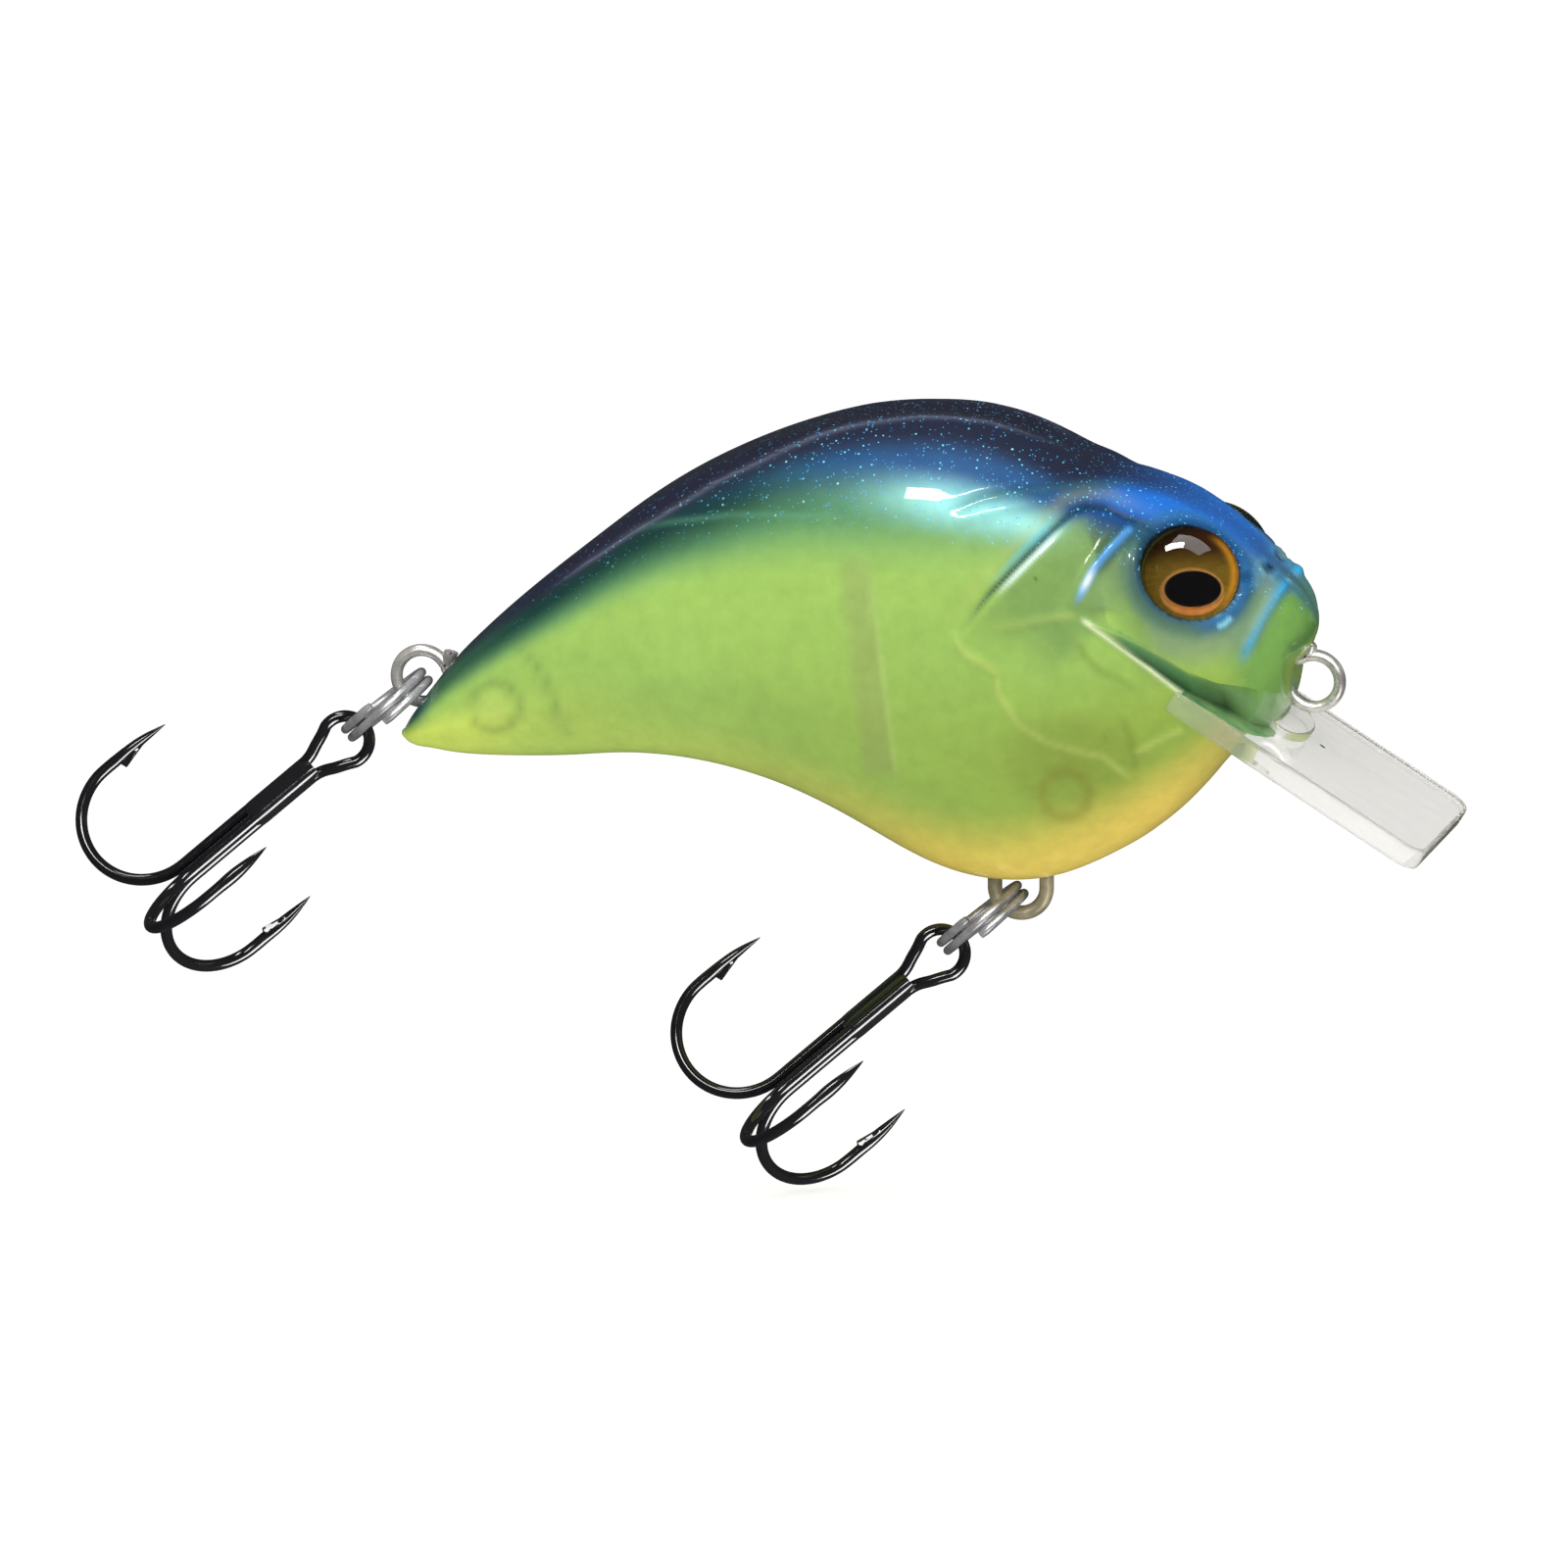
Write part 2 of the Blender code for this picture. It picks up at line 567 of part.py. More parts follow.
tie_path = dog_bone((0.0, 0.0), EYE_LOOP, TIE_INNER, EYE_INNER, 16)
tail_path = dog_bone(TAIL_LOOP, EYE_LOOP, TAIL_INNER, EYE_INNER, 16)
belly_path = long_link(BELLY_LOOP, BELLY_INNER, EYE_LOOP, 10)
wires = [
    ("line_tie_eye", tie_path, EYE_WIRE),
    ("tail_hanger_eye", tail_path, EYE_WIRE),
    ("belly_hanger_eye", belly_path, BELLY_WIRE),
]
channels = []
for wire_name, wire_path, wire_radius in wires:
    wire_points, wire_faces = tube(wire_path, wire_radius, 8, closed=True)
    solid(wire_name, wire_points, wire_faces, (0.50, 0.49, 0.46, 1.0), 1.0, 0.3)
    channels.append((wire_name, wire_path, wire_radius + GROOVE_CLEAR))

build_shell(-1.0, "right", channels, PAINT_RIGHT)
build_shell(1.0, "left", channels, PAINT_LEFT)
build_lip()
build_eye(-1.0, "right")
build_eye(1.0, "left")

build_ring("belly_split_ring", BELLY_LOOP, BELLY_REACH)
build_ring("tail_split_ring", TAIL_LOOP, TAIL_REACH)
build_treble("belly", BELLY_LOOP, BELLY_REACH)
build_treble("tail", TAIL_LOOP, TAIL_REACH)

prism_slug = stack([[(x, y, z) for x, z in circle(SLUG, SLUG_RADIUS, 20)] for y in (-SLUG_HALF, SLUG_HALF)])
solid("ballast_slug", *prism_slug, colour=(0.30, 0.31, 0.33, 1.0), metallic=1.0, roughness=0.5)
ball("ballast_shot", (SHOT[0], 0.0, SHOT[1]), SHOT_RADIUS, 7, 12, (0.32, 0.33, 0.35, 1.0))
ball("rattle_ball_rear", (BALL_REAR_X, 0.0, BALL_Z), BALL_RADIUS, 8, 14, (0.62, 0.62, 0.60, 1.0))
ball("rattle_ball_front", (BALL_FRONT_X, 0.0, BALL_Z), BALL_RADIUS, 8, 14, (0.64, 0.64, 0.62, 1.0))
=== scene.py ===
import math

import bmesh
import bpy
import numpy as np
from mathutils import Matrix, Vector


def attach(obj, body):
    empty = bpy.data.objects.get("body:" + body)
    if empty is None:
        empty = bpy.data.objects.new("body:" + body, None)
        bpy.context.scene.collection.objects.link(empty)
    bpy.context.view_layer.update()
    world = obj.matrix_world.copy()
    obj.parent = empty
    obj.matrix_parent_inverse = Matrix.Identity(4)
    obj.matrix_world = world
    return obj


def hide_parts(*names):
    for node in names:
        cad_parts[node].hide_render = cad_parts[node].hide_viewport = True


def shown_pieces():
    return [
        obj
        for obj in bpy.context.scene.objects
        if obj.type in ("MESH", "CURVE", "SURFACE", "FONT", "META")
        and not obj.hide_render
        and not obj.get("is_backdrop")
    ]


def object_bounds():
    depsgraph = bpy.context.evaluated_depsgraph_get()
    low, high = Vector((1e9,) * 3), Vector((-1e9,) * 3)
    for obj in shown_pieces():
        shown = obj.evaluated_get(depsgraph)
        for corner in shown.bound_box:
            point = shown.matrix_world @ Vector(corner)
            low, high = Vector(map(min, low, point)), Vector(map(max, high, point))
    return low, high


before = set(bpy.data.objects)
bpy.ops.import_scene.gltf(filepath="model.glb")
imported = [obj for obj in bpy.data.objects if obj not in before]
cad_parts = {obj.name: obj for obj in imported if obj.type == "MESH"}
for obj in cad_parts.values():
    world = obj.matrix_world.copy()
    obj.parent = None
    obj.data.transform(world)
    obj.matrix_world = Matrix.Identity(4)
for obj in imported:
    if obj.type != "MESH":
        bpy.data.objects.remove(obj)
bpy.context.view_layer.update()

MM = 0.001

# ------------------------------------------------------------------ body
DORSAL_FLAT = 2.3
# x, top z, bottom z, half-width, z of the widest point, squareness above, squareness below
BODY = [
    (-59.75, -5.2, -5.8, 1.2, -5.5, 2.1, 2.0),
    (-59.4, -4.55, -6.15, 1.62, -5.4, 2.1, 2.0),
    (-58.6, -3.4, -6.4, 2.26, -5.1, 2.1, 2.0),
    (-57.5, -1.75, -6.58, 2.72, -4.95, 2.11, 2.0),
    (-56.5, -0.45, -6.7, 3.1, -4.56, 2.11, 2.0),
    (-55.3, 0.8, -6.79, 3.37, -4.09, 2.12, 2.0),
    (-53.1, 2.86, -6.76, 3.88, -3.24, 2.12, 2.0),
    (-50.6, 5.01, -6.69, 4.52, -2.29, 2.13, 2.0),
    (-47.8, 7.25, -6.49, 5.25, -1.24, 2.14, 2.0),
    (-45.0, 9.51, -6.19, 5.9, -0.45, 2.15, 2.0),
    (-42.0, 11.61, -6.29, 6.6, 0.4, 2.16, 2.0),
    (-39.1, 13.25, -6.69, 7.23, 0.88, 2.17, 2.0),
    (-36.2, 14.6, -7.39, 7.86, 1.37, 2.18, 2.0),
    (-33.6, 15.6, -8.29, 8.31, 1.43, 2.19, 2.0),
    (-31.0, 16.35, -9.49, 8.75, 1.46, 2.2, 2.0),
    (-28.4, 16.85, -10.89, 9.01, 1.5, 2.2, 2.0),
    (-25.8, 17.04, -12.34, 9.26, 1.42, 2.2, 2.0),
    (-23.3, 17.1, -13.29, 9.34, 1.32, 2.2, 2.0),
    (-20.7, 16.79, -13.75, 9.42, 1.23, 2.2, 2.0),
    (-18.1, 16.04, -13.65, 9.4, 1.47, 2.2, 2.0),
    (-15.8, 14.94, -13.05, 9.37, 1.79, 2.17, 2.0),
    (-13.6, 13.83, -12.0, 9.22, 2.03, 2.15, 2.0),
    (-11.7, 13.24, -11.0, 9.1, 2.2, 2.12, 2.0),
    (-9.8, 12.69, -9.6, 8.9, 1.77, 2.1, 2.05),
    (-8.2, 12.04, -8.2, 8.65, 1.4, 2.1, 2.1),
    (-6.8, 11.23, -6.7, 8.3, 0.9, 2.1, 2.1),
    (-5.6, 10.43, -5.25, 7.8, 0.4, 2.1, 2.1),
    (-4.4, 9.48, -4.0, 7.1, 0.3, 2.1, 2.1),
    (-3.2, 8.36, -3.55, 6.2, 0.6, 2.1, 2.2),
    (-2.2, 7.42, -2.95, 5.4, 1.25, 2.1, 2.3),
    (-1.75, 7.02, -1.55, 4.95, 2.05, 2.1, 2.3),
    (-1.38, 6.72, -1.2, 4.58, 2.72, 2.1, 2.2),
    (-1.3, 6.65, 0.75, 4.5, 2.86, 2.1, 2.2),
    (-0.8, 6.15, 1.6, 3.85, 3.45, 2.1, 2.1),
    (-0.4, 5.6, 2.05, 3.1, 3.7, 2.1, 2.0),
    (-0.15, 5.15, 2.4, 2.3, 3.75, 2.1, 2.0),
    (0.02, 4.7, 2.9, 1.5, 3.8, 2.1, 2.0),
]
SMOOTHING = 1.3            # how far the section table is eased along x, behind the head
REAR_STEP = 0.62
HEAD_STEP = 0.16
NOSE_STEP = 0.08
HEAD_FROM = -27.0
NOSE_FROM = -1.9
FLAT_POINTS = 8
UPPER_POINTS = 92
LOWER_POINTS = 58

# The hollow under each cheek: x, then |y| and z at its lower edge, |y| and z at its upper edge
CHEEK_HOLLOW = [
    (-14.2, 9.4, 5.7, 9.5, 5.85),
    (-11.0, 8.55, 3.45, 9.15, 4.5),
    (-9.1, 8.05, 2.15, 8.9, 3.45),
    (-6.7, 6.9, 0.2, 8.3, 1.9),
    (-5.0, 4.7, -1.1, 7.2, 1.1),
    (-3.6, 5.05, -2.0, 6.1, 0.75),
    (-3.0, 5.3, -2.35, 5.85, 0.55),
    (-2.5, 5.45, -2.7, 5.7, 0.3),
    (-2.0, 5.6, -3.0, 5.7, 0.0),
    (1.0, 8.0, -4.9, 8.0, -1.0),
]

# Side drawing: moulded lines are drawn on a plane that faces the lure's side, a little from above and
# from ahead. These turn a point (x, -|y|, z) into that plane's (across, up).
DRAW_ACROSS = (0.9816, 0.1908, 0.0)
DRAW_UP = (-0.0364, 0.1873, 0.9816)
BACK_EDGE = [
    (-49.39, 5.94), (-47.24, 7.53), (-43.95, 9.68), (-40.66, 11.64), (-38.51, 12.96), (-36.3, 13.98),
    (-34.15, 15.05), (-32.0, 15.94), (-29.79, 16.57), (-27.64, 16.89), (-25.42, 17.14), (-23.27, 17.07),
    (-21.06, 16.82), (-18.91, 16.19), (-16.7, 15.37), (-15.24, 14.67),
]
FLANK_LINE = [(-45.03, 9.49), (-41.74, 10.24), (-37.44, 10.75), (-32.0, 10.69), (-28.71, 10.56)]
GILL_EDGE = [
    (-10.06, 9.55), (-11.26, 10.18), (-12.27, 10.56), (-13.53, 11.13), (-14.73, 11.16), (-15.59, 10.85),
    (-16.97, 9.63), (-19.05, 7.55), (-20.96, 5.57), (-22.53, 3.48), (-23.15, 2.72),
]
GILL_LOWER = [(-23.15, 2.72), (-22.7, 1.83), (-21.69, 1.2), (-20.43, 0.51)]
GILL_CHIN = [
    (-20.43, 0.51), (-20.43, -0.82), (-19.04, -2.91), (-17.33, -3.98), (-14.92, -4.68), (-13.72, -4.87),
    (-11.57, -6.51),
]
THROAT_FOLD = [(-12.46, -2.09), (-11.95, -3.48), (-11.64, -4.74), (-11.51, -6.07)]
THROAT_LINE = [(-11.7, -4.74), (-10.18, -3.92), (-8.41, -3.1)]
CHEEK_RIDGE = [
    (-11.7, 9.99), (-13.15, 8.54), (-14.23, 7.27), (-14.92, 5.94), (-15.37, 5.0), (-15.37, 4.24),
]
CHEEK_CREASE = [(-15.37, 4.24), (-17.77, 3.92), (-19.35, 3.6), (-20.93, 3.41)]
JAW_FOLD = [(-15.24, 2.85), (-14.86, 1.71), (-13.85, 0.7), (-12.52, 0.13), (-11.19, -0.89)]
SHOULDER = [
    (-24.09, 10.94), (-22.83, 11.13), (-21.5, 11.64), (-19.04, 12.14), (-16.25, 12.52), (-13.53, 12.68),
    (-10.37, 13.03),
]
JAW_LEDGE = [(-15.18, 4.05), (-12.33, 2.02), (-9.55, -0.06), (-8.16, -1.14)]
MOUTH = [(-1.39, 7.27), (-1.71, 6.58), (-2.59, 5.38), (-3.45, 3.98), (-4.3, 2.28), (-4.84, 0.89)]
NOSE_FOLD = [(0.13, 3.86), (-0.32, 2.97), (-1.08, 2.21), (-1.9, 1.96)]
PAINTED_EYE_GLINTS = (
    [(-6.64, 4.24), (-6.01, 4.62), (-5.5, 5.06), (-5.25, 5.44)],
    [(-6.39, 3.41), (-5.82, 3.67), (-5.31, 4.17)],
)
PAINT_SPOTS = [(-18.02, 6.58), (-13.53, -3.48)]
NOSTRILS = [(-2.91, 7.34), (-4.36, 6.51)]
SNOUT_PITS = [(-3.6, 6.89), (-2.4, 6.58), (-4.62, 5.75)]

DOLL_EYE = (-6.98, 6.28, 8.02)
DOLL_EYE_NORMAL = (0.2, 0.86, 0.45)
SOCKET_RADIUS = 3.22
SOCKET_DEEP = 1.15

# Internal parts whose faint shadows are painted on the skin, as seen through the translucent paint, on the
# same drawing plane
BULKHEAD = [(-29.91, 8.54), (-29.41, 4.74), (-28.9, 0.32), (-28.02, -6.13)]
TAIL_RIB = [(-51.48, 2.4), (-49.83, 0.57), (-48.88, -1.71), (-48.32, -3.73)]
TAIL_LOOP_AT = (-52.93, -1.64)
BELLY_RING_AT = (-16.06, -7.34)
BALLAST_AT = (-15.75, -5.06)

# ------------------------------------------------------------------ lip, wires, hooks
LIP_SLOPE = 0.625
LIP_AT_ZERO = -3.95
LIP_THICK = 1.5
LIP_HALF = 8.8
LIP_SHOULDER_X = -7.5
LIP_TIP_X = 8.8
LIP_CORNER = 1.6
LIP_NECK_HALF = 4.0
LIP_NECK_LONG = 2.4
LIP_TEE_HALF = 5.6
LIP_TEE_LONG = 2.6
LIP_EDGE = 0.26
PAD_HALF = 3.7
PAD_HIGH = 0.55
PAD_FRONT_X = -0.9
PAD_BACK_X = -3.3

EYE_WIRE = 0.4
EYE_LOOP = 1.7
EYE_INNER = 1.45
EYE_HALF_WAIST = 0.78
EYE_FILLET = 0.9
TIE_INNER = (-5.3, 2.45)
TAIL_LOOP = (-58.7, -1.8)
TAIL_INNER = (-53.8, -3.6)
BELLY_LOOP = (-19.25, -14.25)
BELLY_INNER = (-19.25, -9.2)
BELLY_WIRE = 0.48
EYE_WIRE_SIDES = 22
EYE_STEPS = 60
LINK_STEPS = 36

TRAIL = math.radians(40.9)
LEAN = math.radians(15.4)
RING_RADIUS = 3.08
RING_WIRE = 0.3
RING_PITCH = 0.68
RING_STEPS = 176
RING_SIDES = 16
TAIL_REACH = 3.08
BELLY_REACH = 3.3
RING_TO_HOOK = 3.54
HOOK_WIRE = 0.39
HOOK_STRAND = 0.6
HOOK_EYE = 1.56
HOOK_BEND = 4.15
HOOK_BEND_AT = 13.2
HOOK_TIP = (8.3, 8.65)
HOOK_ANGLES = (-17.5, 102.5, 222.5)
BRAZE_FROM = 2.7
BRAZE_TO = 7.9

CHAIN = np.array((-math.cos(TRAIL), 0.0, -math.sin(TRAIL)))
ACROSS = np.array((-math.sin(TRAIL), 0.0, math.cos(TRAIL)))
TOWARD = np.array((0.0, -1.0, 0.0))
SHANK = CHAIN * math.cos(LEAN) + TOWARD * math.sin(LEAN)
FLANK = TOWARD * math.cos(LEAN) - CHAIN * math.sin(LEAN)


# ------------------------------------------------------------------ small helpers
def smoothstep(low, high, value):
    t = np.clip((np.asarray(value, float) - low) / (high - low), 0.0, 1.0)
    return t * t * (3.0 - 2.0 * t)


def linear(colour):
    """Linear colour of an sRGB triple given as 0 to 255."""
    c = np.asarray(colour, float) / 255.0
    return np.where(c <= 0.04045, c / 12.92, ((c + 0.055) / 1.055) ** 2.4)


def eased(stations, values, where):
    """Smooth curve through a table that never overshoots it."""
    stations = np.asarray(stations, float)
    values = np.asarray(values, float)
    gap = np.diff(stations)
    slope = np.diff(values) / gap
    tangent = np.zeros_like(values)
    tangent[0] = slope[0]
    tangent[-1] = slope[-1]
    for i in range(1, len(values) - 1):
        if slope[i - 1] * slope[i] > 0:
            a = 2 * gap[i] + gap[i - 1]
            b = gap[i] + 2 * gap[i - 1]
            tangent[i] = (a + b) / (a / slope[i - 1] + b / slope[i])
    where = np.clip(where, stations[0], stations[-1])
    i = np.clip(np.searchsorted(stations, where) - 1, 0, len(gap) - 1)
    h = gap[i]
    t = (where - stations[i]) / h
    return (
        values[i] * (1 + 2 * t) * (1 - t) ** 2
        + h * tangent[i] * t * (1 - t) ** 2
        + values[i + 1] * t * t * (3 - 2 * t)
        + h * tangent[i + 1] * t * t * (t - 1)
    )


def trace(across, up, line):
    """Distance from each drawing-plane point to a line, how far along it lies (0 to 1), and its side."""
    line = np.asarray(line, float)
    lengths = np.hypot(*np.diff(line, axis=0).T)
    total = lengths.sum()
    best = np.full(across.shape, 1e9)
    along = np.zeros(across.shape)
    side = np.ones(across.shape)
    done = 0.0
    for (ax, ay), (bx, by), length in zip(line[:-1], line[1:], lengths):
        dx, dy = (bx - ax) / length, (by - ay) / length
        t = np.clip((across - ax) * dx + (up - ay) * dy, 0.0, length)
        gap = np.hypot(across - ax - dx * t, up - ay - dy * t)
        closer = gap < best
        turn = dx * (up - ay) - dy * (across - ax)
        best = np.where(closer, gap, best)
        along = np.where(closer, (done + t) / total, along)
        side = np.where(closer, np.sign(turn), side)
        done += length
    return best, along, side


def bell(distance, width):
    return np.exp(-((distance / width) ** 2))


def taper(along, start=0.15, end=0.15):
    """Fades a line in and out at its ends."""
    rise = smoothstep(-0.01, start, along) if start > 0 else 1.0
    fall = smoothstep(-0.01, end, 1.0 - along) if end > 0 else 1.0
    return rise * fall


class Canvas:
    """Linear vertex colours, tinted one strength and sRGB shade after another."""

    def __init__(self, shade, shape):
        self.colour = np.broadcast_to(linear(shade), shape + (3,)).copy()

    def tint(self, strength, shade):
        s = np.clip(strength, 0.0, 1.0)[..., None]
        self.colour = self.colour * (1 - s) + linear(shade) * s


def stroke(across, up, line, width, start, end, off=0.0):
    """Strength of a soft line, drawn at a distance off a trace and faded at its ends."""
    gap, along, _ = trace(across, up, line)
    return bell(gap - off, width) * taper(along, start, end)


def apart(across, up, spot):
    return np.hypot(across - spot[0], up - spot[1])


def add_object(name, data):
    made = bpy.data.objects.new(name, data)
    bpy.context.scene.collection.objects.link(made)
    return made


def flatten_caps(mesh):
    """Many-sided flat faces are shaded flat, so that their rounded rims don't tilt them."""
    for face in mesh.polygons:
        if len(face.vertices) > 6:
            face.use_smooth = False


def make(name, points, faces, look, body, nodes=(), sharp=35.0):
    """A closed mesh piece from points in millimetres, riding on a body and standing for CAD nodes."""
    mesh = bpy.data.meshes.new(name)
    mesh.from_pydata([tuple(float(c) * MM for c in p) for p in points], [], faces)
    shape = bmesh.new()
    shape.from_mesh(mesh)
    bmesh.ops.recalc_face_normals(shape, faces=shape.faces)
    shape.to_mesh(mesh)
    shape.free()
    mesh.shade_smooth()
    mesh.set_sharp_from_angle(angle=math.radians(sharp))
    flatten_caps(mesh)
    mesh.materials.append(look)
    made = add_object(name, mesh)
    if body:
        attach(made, body)
    if nodes:
        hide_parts(*nodes)
    return made


def loft(sections):
    """Joins equal closed outlines into one closed solid."""
    count = len(sections[0])
    points = np.concatenate([np.asarray(s, float) for s in sections])
    last = (len(sections) - 1) * count
    faces = [tuple(range(count)), tuple(range(last, last + count))]
    for i in range(len(sections) - 1):
        a, b = i * count, (i + 1) * count
        faces += [(a + j, a + (j + 1) % count, b + (j + 1) % count, b + j) for j in range(count)]
    return points, faces


def spline(points, step, closed=False):
    """Evenly stepped smooth curve through points of any number of columns."""
    p = np.asarray(points, float)
    count = len(p)
    spans = count if closed else count - 1
    out = []
    for i in range(spans):
        if closed:
            a, b, c, d = (p[(i + k) % count] for k in (-1, 0, 1, 2))
        else:
            a, b, c, d = p[max(i - 1, 0)], p[i], p[i + 1], p[min(i + 2, count - 1)]
        pieces = max(1, int(math.ceil(np.linalg.norm((c - b)[:3]) / step)))
        reach = [max(1e-6, np.linalg.norm((q - r)[:3])) for q, r in ((b, a), (c, b), (d, c))]
        m1 = (c - b) if i == 0 and not closed else (
            (c - b) / reach[1] * reach[0] + (b - a) / reach[0] * reach[1])
        m1 = m1 if i == 0 and not closed else m1 / (reach[0] + reach[1]) * reach[1]
        m2 = (c - b) if i == spans - 1 and not closed else (
            (c - b) / reach[1] * reach[2] + (d - c) / reach[2] * reach[1]) / (reach[1] + reach[2]) * reach[1]
        for k in range(pieces):
            t = k / pieces
            out.append(b * (1 + 2 * t) * (1 - t) ** 2 + m1 * t * (1 - t) ** 2
                       + c * t * t * (3 - 2 * t) + m2 * t * t * (t - 1))
    if not closed:
        out.append(p[-1])
    return np.array(out)


def sweep(path, radii, sides, closed=False, swell=None, first_side=None):
    """Round wire along a path. swell(i, tangent, side, other) gives a multiplier for each side."""
    path = np.asarray(path, float)
    count = len(path)
    if closed:
        steps = np.roll(path, -1, axis=0) - np.roll(path, 1, axis=0)
    else:
        steps = np.gradient(path, axis=0)
    tangents = steps / np.linalg.norm(steps, axis=1)[:, None]
    side = np.array((0.0, 1.0, 0.0)) if first_side is None else np.asarray(first_side, float)
    if abs(tangents[0] @ side) > 0.9:
        side = np.array((0.0, 0.0, 1.0))
    radii = np.broadcast_to(radii, (count,))
    turn = 2 * math.pi * (np.arange(sides) + 0.5) / sides
    points = []
    for i in range(count):
        side = side - tangents[i] * (side @ tangents[i])
        side = side / np.linalg.norm(side)
        other = np.cross(tangents[i], side)
        away = np.cos(turn)[:, None] * side + np.sin(turn)[:, None] * other
        size = radii[i] * (swell(i, away) if swell else np.ones(sides))
        points.append(path[i] + away * size[:, None])
    points = np.concatenate(points)
    faces = []
    for i in range(count if closed else count - 1):
        a, b = i * sides, ((i + 1) % count) * sides
        faces += [(a + j, a + (j + 1) % sides, b + (j + 1) % sides, b + j) for j in range(sides)]
    if not closed:
        faces += [tuple(range(sides)), tuple(range((count - 1) * sides, count * sides))]
    return points, faces


# ------------------------------------------------------------------ materials
class Look:
    """A node material with a few short-hands."""

    def __init__(self, name):
        self.material = bpy.data.materials.new(name)
        self.material.use_nodes = True
        self.tree = self.material.node_tree
        self.shader = self.tree.nodes["Principled BSDF"]

    def set(self, **values):
        for key, value in values.items():
            self.shader.inputs[key.replace("_", " ")].default_value = value

    def node(self, kind, **values):
        made = self.tree.nodes.new(kind)
        for key, value in values.items():
            setattr(made, key, value)
        return made

    def link(self, a, b):
        self.tree.links.new(a, b)

    def feed(self, socket, value):
        """Puts a number, a colour or another node's output into a socket."""
        if isinstance(value, (int, float, tuple)):
            socket.default_value = value
        else:
            self.link(value, socket)

    def drive(self, name, value):
        """Feeds one of the shader's own inputs."""
        self.link(value, self.shader.inputs[name])

    def coords(self):
        return self.node("ShaderNodeTexCoord").outputs["Object"]

    def noise(self, scale, detail=2.0, rough=0.5, stretch=None):
        made = self.node("ShaderNodeTexNoise")
        source = self.coords()
        if stretch:
            mapping = self.node("ShaderNodeMapping")
            mapping.inputs["Scale"].default_value = stretch
            self.link(source, mapping.inputs["Vector"])
            source = mapping.outputs["Vector"]
        for key, value in (("Scale", scale), ("Detail", detail), ("Roughness", rough), ("Vector", source)):
            self.feed(made.inputs[key], value)
        return made.outputs["Fac"]

    def remap(self, value, a, b, c, d):
        made = self.node("ShaderNodeMapRange")
        for key, given in (("From Min", a), ("From Max", b), ("To Min", c), ("To Max", d), ("Value", value)):
            self.feed(made.inputs[key], given)
        return made.outputs["Result"]

    def times(self, a, b):
        made = self.node("ShaderNodeMath", operation="MULTIPLY")
        self.link(a, made.inputs[0])
        self.link(b, made.inputs[1])
        return made.outputs["Value"]

    def scaled(self, colour, factor):
        made = self.node("ShaderNodeVectorMath", operation="SCALE")
        self.link(colour, made.inputs[0])
        self.link(factor, made.inputs["Scale"])
        return made.outputs["Vector"]

    def mix(self, factor, a, b):
        made = self.node("ShaderNodeMix", data_type="RGBA")
        for socket, value in ((0, factor), (6, a), (7, b)):
            self.feed(made.inputs[socket], value)
        return made.outputs[2]

    def attribute(self, name, output="Color"):
        return self.node("ShaderNodeAttribute", attribute_name=name).outputs[output]

    def bump(self, height, strength, distance):
        made = self.node("ShaderNodeBump")
        for key, value in (("Strength", strength), ("Distance", distance), ("Height", height)):
            self.feed(made.inputs[key], value)
        self.drive("Normal", made.outputs["Normal"])


# Metal flake in the paint: cells per metre, share of the cells left out, flake size, colour
FLAKES = [
    (4200.0, 0.93, 0.34, (0.16, 0.72, 0.95, 1.0)),
    (2700.0, 0.965, 0.25, (0.45, 0.92, 1.0, 1.0)),
    (6200.0, 0.86, 0.38, (0.06, 0.42, 0.8, 1.0)),
]


def paint_look():
    """Lacquered body paint: painted colours that include painted shade and highlights, flake along the back,
    fine mottling and a deep clear coat.
    """
    look = Look("lacquered_body_paint")
    look.set(Roughness=0.42, Specular_IOR_Level=0.3, Coat_Weight=0.65, Coat_Roughness=0.03, Coat_IOR=1.45)
    flaked = look.attribute("flake", "Fac")
    grain = look.remap(look.noise(900.0, 3.0, 0.6), 0.3, 0.7, 0.93, 1.05)
    clouds = look.remap(look.noise(120.0), 0.3, 0.7, 0.95, 1.04)
    colour = look.scaled(look.attribute("paint"), look.times(grain, clouds))
    for scale, left_out, size, tint in FLAKES:
        cells = look.node("ShaderNodeTexVoronoi")
        cells.inputs["Scale"].default_value = scale
        look.link(look.coords(), cells.inputs["Vector"])
        split = look.node("ShaderNodeSeparateColor")
        look.link(cells.outputs["Color"], split.inputs["Color"])
        chosen = look.remap(split.outputs["Red"], left_out, left_out + 0.03, 0.0, 1.0)
        near = look.remap(cells.outputs["Distance"], size * 0.6, size, 1.0, 0.0)
        colour = look.mix(look.times(look.times(chosen, near), flaked), colour, tint)
    look.drive("Base Color", colour)
    look.drive("Metallic", look.remap(flaked, 0.0, 1.0, 0.0, 0.1))
    look.bump(look.noise(1400.0), 0.05, 0.00004)
    return look.material


def glass_look(name, tint, roughness, ior, clear, wave):
    look = Look(name)
    look.set(Base_Color=tint, Roughness=roughness, IOR=ior, Transmission_Weight=clear)
    if wave:
        look.bump(look.noise(260.0, 2.0, 0.4, stretch=(0.35, 1.0, 0.35)), 0.25, wave)
    return look.material


